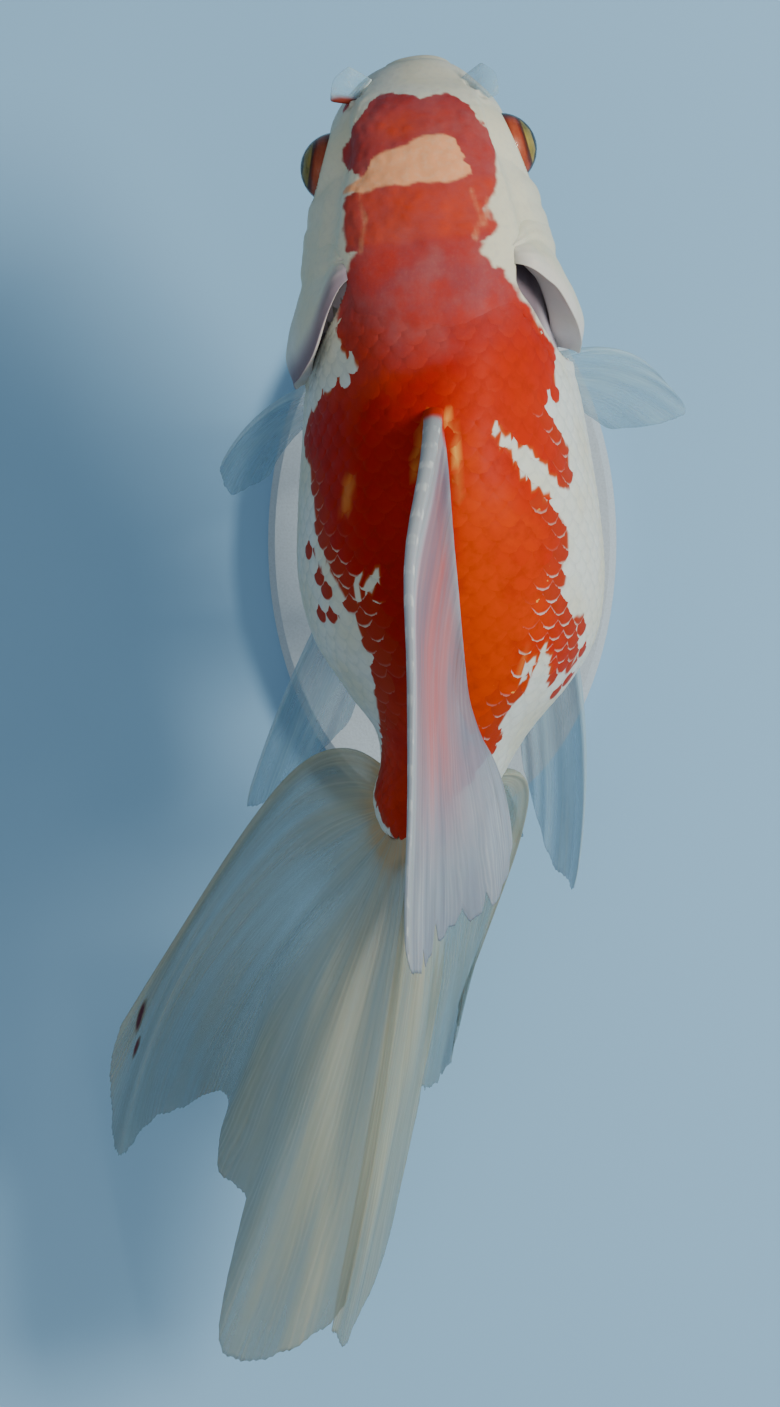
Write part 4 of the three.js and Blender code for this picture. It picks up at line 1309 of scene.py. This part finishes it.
def ray_height(position, along):
    """Height of the rays' ridges, from 0 to 1: each ray forks part way out."""
    whole = (0.5 + 0.5 * np.cos(2 * math.pi * position)) ** 2.0
    forked = (0.5 - 0.5 * np.cos(4 * math.pi * position)) ** 2.0
    share = smooth(0.3, 0.55, along)
    return whole * (1 - share) + 0.8 * forked * share


RAY_FACETS = 5  # across each ray
FIN_FACETS, SMALL_FIN_FACETS = 120, 70  # along a fin, and along one of fewer than FEW_RAYS rays
FEW_RAYS = 16
FRAY = 0.02  # how far the fins' margins fray, as a share of their length
EDGE_WALL = 0.22  # of the fins' membrane, in mm


def pale_front(u, v):
    return 0.45 + 0.55 * bump(u, 0, 0.1)


def fleshy_root(u, v):
    return fade(0.0, 0.14, v)


class Fin:
    """What one fin is like: its key rays, the solids it stands for, how many rays it has and its thickness
    in mm at the root, then

    waves    depth in mm and number of its soft waves
    folds    where across, width, depth in mm and where along it starts, for each fold
    notches  where across, width and depth as a share of the fin's length, for each notch of its margin
    bulges   depth in mm, where along and width, for each bow of its first ray to the left
    lead     extra thickness in mm of the ray at the side lead_at, 0 for the first and 1 for the last
    beads    how many beads that ray has, and spine is how far it shows as a shaft
    spots    where across, where along, width and length of each spot
    milk     how milky and, in tint, how flushed the fin is: functions of across and along
    """

    def __init__(
        self, rays, nodes, count, root, waves=(0.3, 1.5), folds=(), notches=(), bulges=(), lead=0.3,
        lead_at=0, beads=0, spine=0.0, milk=pale_front, tint=fleshy_root, spots=(), seed=1.0,
    ):  # fmt: skip
        self.rays, self.nodes, self.count, self.root = rays, nodes, count, root
        self.waves, self.folds, self.notches, self.bulges = waves, folds, notches, bulges
        self.lead, self.lead_at, self.beads, self.spine = lead, lead_at, beads, spine
        self.milk, self.tint, self.spots, self.seed = milk, tint, spots, seed


def build_fin(name, fin, material, relief_mm):
    """A fin as one thin closed sheet."""
    facets = SMALL_FIN_FACETS if fin.count < FEW_RAYS else FIN_FACETS
    mesh = to_mesh(closed_sheet(fin.count * RAY_FACETS, facets), name)
    u, v, front = points_of(mesh).T
    position = u * fin.count
    ridges = ray_height(position, v)
    ragged = np.array([noise.noise(Vector((p * 0.9, fin.seed * 7.7, 0.5))) for p in position])
    short = FRAY * (0.5 + 0.8 * ragged - 0.25 * ridges)
    for middle, width, depth in fin.notches:
        short = short + depth * np.maximum(1 - np.abs(u - middle) / width, 0) ** 1.3
    corner = np.minimum(u, 1 - u) * 14
    short = np.clip(short, 0, 0.6) + 0.05 * np.maximum(1 - corner, 0) ** 2
    along = v * (1 - short * smooth(0.45, 1, v))
    middle = fin_point(fin.rays, u, along)
    normal = fin_normal(fin.rays, u, along)
    depth, number = fin.waves
    swell = depth * along**1.5 * np.sin(2 * math.pi * (number * u + 0.35 * along) + fin.seed)
    swell += 0.3 * depth * along * np.sin(2 * math.pi * (3.3 * number * u - 0.4 * along + fin.seed))
    for where, width, rise, start in fin.folds:
        across = np.tanh((u - where - 0.04 * np.sin(5 * along)) / width)
        swell += rise * across * smooth(start, start + 0.35, along)
    for rise, where, width in fin.bulges:
        swell += rise * bump(along, where, width) * fade(0, 0.5, u)
    half = 0.5 * (fin.root * (1 - np.sqrt(along)) + EDGE_WALL) + relief_mm * ridges
    first = bump(np.abs(u - fin.lead_at), 0.6 / fin.count, 0.7 / fin.count)
    beaded = 1 + 0.06 * np.sin(2 * math.pi * fin.beads * along)
    half = half + fin.lead * first * (1 - 0.7 * along) * beaded
    rounded = np.sqrt(np.clip(np.minimum(u, 1 - u) * fin.count * 3, 0.04, 1))
    half = half * rounded * (1 - 0.7 * smooth(0.97, 1, v))
    points = middle + normal * (swell + np.where(front > 0.5, half, -half))[:, None]
    set_points(mesh, to_world(points))
    spot = np.zeros(len(u))
    for at_u, at_v, wide, long in fin.spots:
        spot = np.maximum(spot, fade(0.6, 1.1, np.hypot((u - at_u) / wide, (along - at_v) / long)))
    add_values(
        mesh, milk=np.clip(fin.milk(u, along), 0, 1), tint=np.clip(fin.tint(u, along), 0, 1), spot=spot,
        spine=fin.spine * fade(1.4 / fin.count, 2.4 / fin.count, u),
        flesh=0.6 * fade(0.0, 0.1, along),
    )  # fmt: skip
    add_uv(mesh, "FinUV", np.stack([position, along], -1))
    face_outwards(mesh)
    piece = make_piece(name, mesh, material)
    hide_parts(*fin.nodes)
    return piece


def dorsal_milk(u, v):
    return 0.45 + 0.3 * bump(u, 0.03, 0.07) - 0.2 * bump(u, 0.16, 0.06) * (1 - v) + 0.2 * bump(v, 0.75, 0.2)


def dorsal_pink(u, v):
    return bump(u, 0.32, 0.24) * smooth(0.05, 0.2, v) * fade(0.5, 0.85, v)


def flap_milk(u, v):
    return 0.5 + 0.5 * bump(u, 0, 0.12)


def tail_milk(u, v):
    """The sheet that runs straight back and the outer edge are milkier than the lobe between them."""
    lobe = smooth(0.36, 0.46, u) * smooth(0.1, 0.4, v)
    return 0.85 - 0.7 * lobe + 0.6 * bump(u, 1, 0.09) - 0.3 * smooth(0.7, 1, v)


def tail_root(u, v):
    return fade(0.02, 0.14, v) + 0.3 * fade(0.1, 0.6, v) * bump(u, 0.15, 0.18)


FINS = {
    "dorsal": Fin(
        DORSAL_RAYS, ("dorsal_fin",), 22, 2.4, waves=(0.45, 1.8), beads=RAY_BEADS, spine=0.85,
        notches=((0.2, 0.03, 0.05), (0.33, 0.03, 0.08), (0.5, 0.04, 0.05), (0.64, 0.03, 0.07)),
        bulges=((1.5, 0.38, 0.14), (-0.6, 0.74, 0.13)), spots=((0.0, 0.02, 0.14, 0.055),),
        milk=dorsal_milk, tint=dorsal_pink,
    ),
    "tail_left": Fin(
        LEFT_TAIL_RAYS, ("tail_upper_left", "tail_lower_left"), 44, 2.2, waves=(1.3, 2.2),
        folds=(
            (0.44, 0.03, -1.1, 0.15), (0.12, 0.02, 0.5, 0.1), (0.27, 0.02, -0.4, 0.2), (0.8, 0.03, 0.6, 0.5),
        ),
        notches=((0.3, 0.09, 0.04), (0.265, 0.085, 0.17)),
        spots=((0.93, 0.87, 0.026, 0.019), (0.875, 0.873, 0.012, 0.016)),
        lead=0.7, lead_at=1, milk=tail_milk, tint=tail_root, seed=2.0,
    ),
    "tail_right": Fin(
        RIGHT_TAIL_RAYS, ("tail_upper_right", "tail_lower_right"), 44, 2.2, waves=(1.2, 2.4),
        folds=((0.15, 0.02, -0.5, 0.1), (0.4, 0.03, 0.9, 0.2), (0.6, 0.03, -0.6, 0.3)),
        lead=0.4, lead_at=1, milk=tail_milk, tint=tail_root, seed=3.0,
    ),
    "pectoral_left": Fin(LEFT_PECTORAL_RAYS, ("pectoral_fin_left",), 15, 1.6, seed=4.0),
    "pectoral_right": Fin(RIGHT_PECTORAL_RAYS, ("pectoral_fin_right",), 15, 1.6, seed=5.0),
    "pelvic_left": Fin(LEFT_PELVIC_RAYS, ("pelvic_fin_left",), 12, 1.8, waves=(0.6, 1.5), seed=6.0),
    "pelvic_right": Fin(RIGHT_PELVIC_RAYS, ("pelvic_fin_right",), 12, 1.8, waves=(0.6, 1.5), seed=7.0),
    "anal_left": Fin(LEFT_ANAL_RAYS, ("anal_fin_left",), 9, 1.4, seed=8.0),
    "anal_right": Fin(RIGHT_ANAL_RAYS, ("anal_fin_right",), 9, 1.4, seed=9.0),
    "flap_left": Fin(
        LEFT_FLAP_RAYS, ("nostril_flap_left",), 4, 0.3, waves=(0.15, 1.0), lead=0, milk=flap_milk,
        spots=((1.0, 0.4, 0.26, 0.8),), seed=10.0,
    ),
    "flap_right": Fin(
        RIGHT_FLAP_RAYS, ("nostril_flap_right",), 4, 0.3, waves=(0.15, 1.0), lead=0, milk=flap_milk,
        seed=11.0,
    ),
}  # fmt: skip


# ---------------------------------------------------------------- eyes
# Each part's radius in mm, and how far it stands out on the side that looks out.
EYE_PARTS = (("eyeball", 5.2, 5.15), ("cornea", 5.32, 5.4))
EYE_FACETS = {"u_segments": 72, "v_segments": 56}


def build_eye(side, materials):
    """An eye of two pieces: the ball with its bulging lens, and the clear dome over it."""
    name = EYE_SIDES[side]
    centre = eye_centre(side)
    out, back, up = eye_axes(side)
    basis = np.array([back * side, up, out]).T
    for (label, radius, height), material in zip(EYE_PARTS, materials):
        bm = bmesh.new()
        bmesh.ops.create_uvsphere(bm, **EYE_FACETS, radius=1)
        mesh = to_mesh(bm, label)
        ball = points_of(mesh)
        turn = np.arccos(np.clip(ball[:, 2], -1, 1)) / (math.pi / 2)
        shaped = ball * np.array([radius, radius, height])
        if label == "eyeball":
            shaped[:, 2] += 0.12 * fade(0.12, 0.2, turn) - 0.1 * bump(turn, 0.28, 0.07)
        add_values(mesh, turn=turn)
        set_points(mesh, to_world(shaped @ basis.T + centre))
        face_outwards(mesh)
        piece = make_piece(f"{label}_{name}", mesh, material)
    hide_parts(f"eye_{name}")


# ---------------------------------------------------------------- operators
class GOLDFISH_OT_skin(bpy.types.Operator):
    """Make the skin with its gill covers"""

    bl_idname = "goldfish.skin"
    bl_label = "Skin"

    def execute(self, context):
        colours, shape = context.scene.goldfish_colours, context.scene.goldfish_shape
        material = skin_material(colours, "skin", False)
        bm = bmesh.new()
        for mesh in (build_skin(shape), build_cover(1), build_cover(-1)):
            bm.from_mesh(mesh)
            bpy.data.meshes.remove(mesh)
        skin = make_piece("skin", to_mesh(bm, "skin"), material)
        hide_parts("head", "shoulder", "belly", "tail_stalk", "upper_lip", "lower_lip")
        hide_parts("gill_cover_left", "gill_cover_right")
        return {"FINISHED"}


class GOLDFISH_OT_scales(bpy.types.Operator):
    """Lay the scales over the skin, in one piece for each side"""

    bl_idname = "goldfish.scales"
    bl_label = "Scales"

    def execute(self, context):
        colours, shape = context.scene.goldfish_colours, context.scene.goldfish_shape
        material = skin_material(colours, "scales", True)
        chart = RoundChart(30, 121)
        roots = scale_roots(shape, chart)
        on_left = roots[:, 1] < 0.5
        for name, chosen in (("scales_left", on_left), ("scales_right", ~on_left)):
            piece = make_piece(name, build_scales(roots[chosen], chart, name), material)
        return {"FINISHED"}


class GOLDFISH_OT_eyes(bpy.types.Operator):
    """Make both eyes, each a ball under a clear dome"""

    bl_idname = "goldfish.eyes"
    bl_label = "Eyes"

    def execute(self, context):
        materials = (eyeball_material(context.scene.goldfish_colours), cornea_material())
        for side in EYE_SIDES:
            build_eye(side, materials)
        return {"FINISHED"}


class GOLDFISH_OT_fins(bpy.types.Operator):
    """Make every fin and the two nostril flaps"""

    bl_idname = "goldfish.fins"
    bl_label = "Fins"

    def execute(self, context):
        c = context.scene.goldfish_colours
        dorsal = (c.dorsal_milk, c.dorsal_shade, c.dorsal_pink)
        tail = (c.tail_milk, c.tail_shade, c.tail_root)
        paired = (c.paired_milk, c.paired_shade, c.paired_root)
        finishes = {
            "dorsal": fin_material(c, "dorsal fin", *dorsal, thin=0.5, lines=0.4, spot=c.red),
            "tail": fin_material(c, "tail fin", *tail, thin=0.36),
            "pectoral": fin_material(c, "paired fins", *paired, thin=0.26),
            "flap": fin_material(c, "nostril flaps", *paired, thin=0.15, lines=0.0, spot=c.rust),
        }
        finishes["pelvic"] = finishes["anal"] = finishes["pectoral"]
        for name, fin in FINS.items():
            build_fin(name, fin, finishes[name.split("_")[0]], context.scene.goldfish_shape.fin_relief)
        return {"FINISHED"}


class GOLDFISH_OT_stand(bpy.types.Operator):
    """Finish the base and rods of the stand"""

    bl_idname = "goldfish.stand"
    bl_label = "Stand"

    def execute(self, context):
        finishes = {"stand_base": stand_material(context.scene.goldfish_colours)}
        finishes["stand_rod_front"] = finishes["stand_rod_rear"] = steel_material()
        for name, material in finishes.items():
            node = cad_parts[name]
            node.data.materials.clear()
            node.data.materials.append(material)
        return {"FINISHED"}


FLOOR_HALF = 3  # half the floor's width, in metres
LAMPS = (  # name, place and width in metres, watts, colour
    ("key", (-0.62, -0.12, 0.72), 0.3, 10.5, (1.0, 0.965, 0.89)),
    ("fill", (0.7, 0.3, 0.9), 0.9, 1.6, (0.82, 0.91, 1.0)),
    ("top", (0.0, 0.1, 1.3), 0.9, 3.0, (0.93, 0.97, 1.0)),
)
LAMPS_AIM = Vector((0, 0.028, 0.08))
STUDIO_LIGHT = ((0.80, 0.90, 1.0, 1), 0.24)  # colour and strength
SENSOR = 24


class GOLDFISH_OT_stage(bpy.types.Operator):
    """Set up the floor, lights and camera"""

    bl_idname = "goldfish.stage"
    bl_label = "Stage"

    def execute(self, context):
        bm = bmesh.new()
        bmesh.ops.create_grid(bm, x_segments=1, y_segments=1, size=FLOOR_HALF)
        floor = add_object("floor", to_mesh(bm, "floor"))
        floor.data.materials.append(floor_material(context.scene.goldfish_colours))

        for name, place, size, watts, colour in LAMPS:
            data = bpy.data.lights.new(name, "AREA")
            data.size = size
            data.energy = watts
            data.color = colour
            lamp = add_object(name, data)
            lamp.location = place
            lamp.rotation_euler = (LAMPS_AIM - lamp.location).to_track_quat("-Z", "Y").to_euler()
        world = bpy.data.worlds.new("studio")
        world.use_nodes = True
        for socket, value in zip(world.node_tree.nodes["Background"].inputs, STUDIO_LIGHT):
            socket.default_value = value
        context.scene.world = world

        lens = bpy.data.cameras.new("camera")
        lens.sensor_fit = "VERTICAL"
        lens.sensor_height = SENSOR
        lens.lens = SENSOR * CAMERA_HEIGHT / VIEW_HEIGHT
        camera = add_object("camera", lens)
        x = to_world(np.array([*CAMERA_AIM, 0.0]))[0]
        y = (CAMERA_AIM[1] - PIVOT_Y) * math.cos(NOSE_UP) * MM
        camera.location = (x, y, (AXIS_HEIGHT + CAMERA_HEIGHT) * MM)
        camera.rotation_euler = (0, 0, math.pi)
        context.scene.camera = camera
        return {"FINISHED"}


class GOLDFISH_PT_panel(bpy.types.Panel):
    """Lists the steps that make the goldfish"""

    bl_idname = "GOLDFISH_PT_panel"
    bl_label = "Goldfish"
    bl_space_type = "VIEW_3D"
    bl_region_type = "UI"
    bl_category = "Goldfish"

    def draw(self, context):
        for step in STEPS:
            self.layout.operator(step)
        for group in (context.scene.goldfish_shape, context.scene.goldfish_colours):
            for name in group.__annotations__:
                self.layout.prop(group, name)


CLASSES = (
    GoldfishColours,
    GoldfishShape,
    GOLDFISH_OT_skin,
    GOLDFISH_OT_scales,
    GOLDFISH_OT_eyes,
    GOLDFISH_OT_fins,
    GOLDFISH_OT_stand,
    GOLDFISH_OT_stage,
    GOLDFISH_PT_panel,
)
STEPS = (
    "goldfish.stage",
    "goldfish.skin",
    "goldfish.scales",
    "goldfish.eyes",
    "goldfish.fins",
    "goldfish.stand",
)


def register():
    for cls in CLASSES:
        bpy.utils.register_class(cls)
    bpy.types.Scene.goldfish_colours = bpy.props.PointerProperty(type=GoldfishColours)
    bpy.types.Scene.goldfish_shape = bpy.props.PointerProperty(type=GoldfishShape)


def unregister():
    del bpy.types.Scene.goldfish_shape
    del bpy.types.Scene.goldfish_colours
    for cls in reversed(CLASSES):
        bpy.utils.unregister_class(cls)


def main():
    register()
    for step in STEPS:
        group, name = step.split(".")
        if "FINISHED" not in getattr(getattr(bpy.ops, group), name)():
            raise RuntimeError(f"{step} did not finish")


if __name__ == "__main__":
    main()
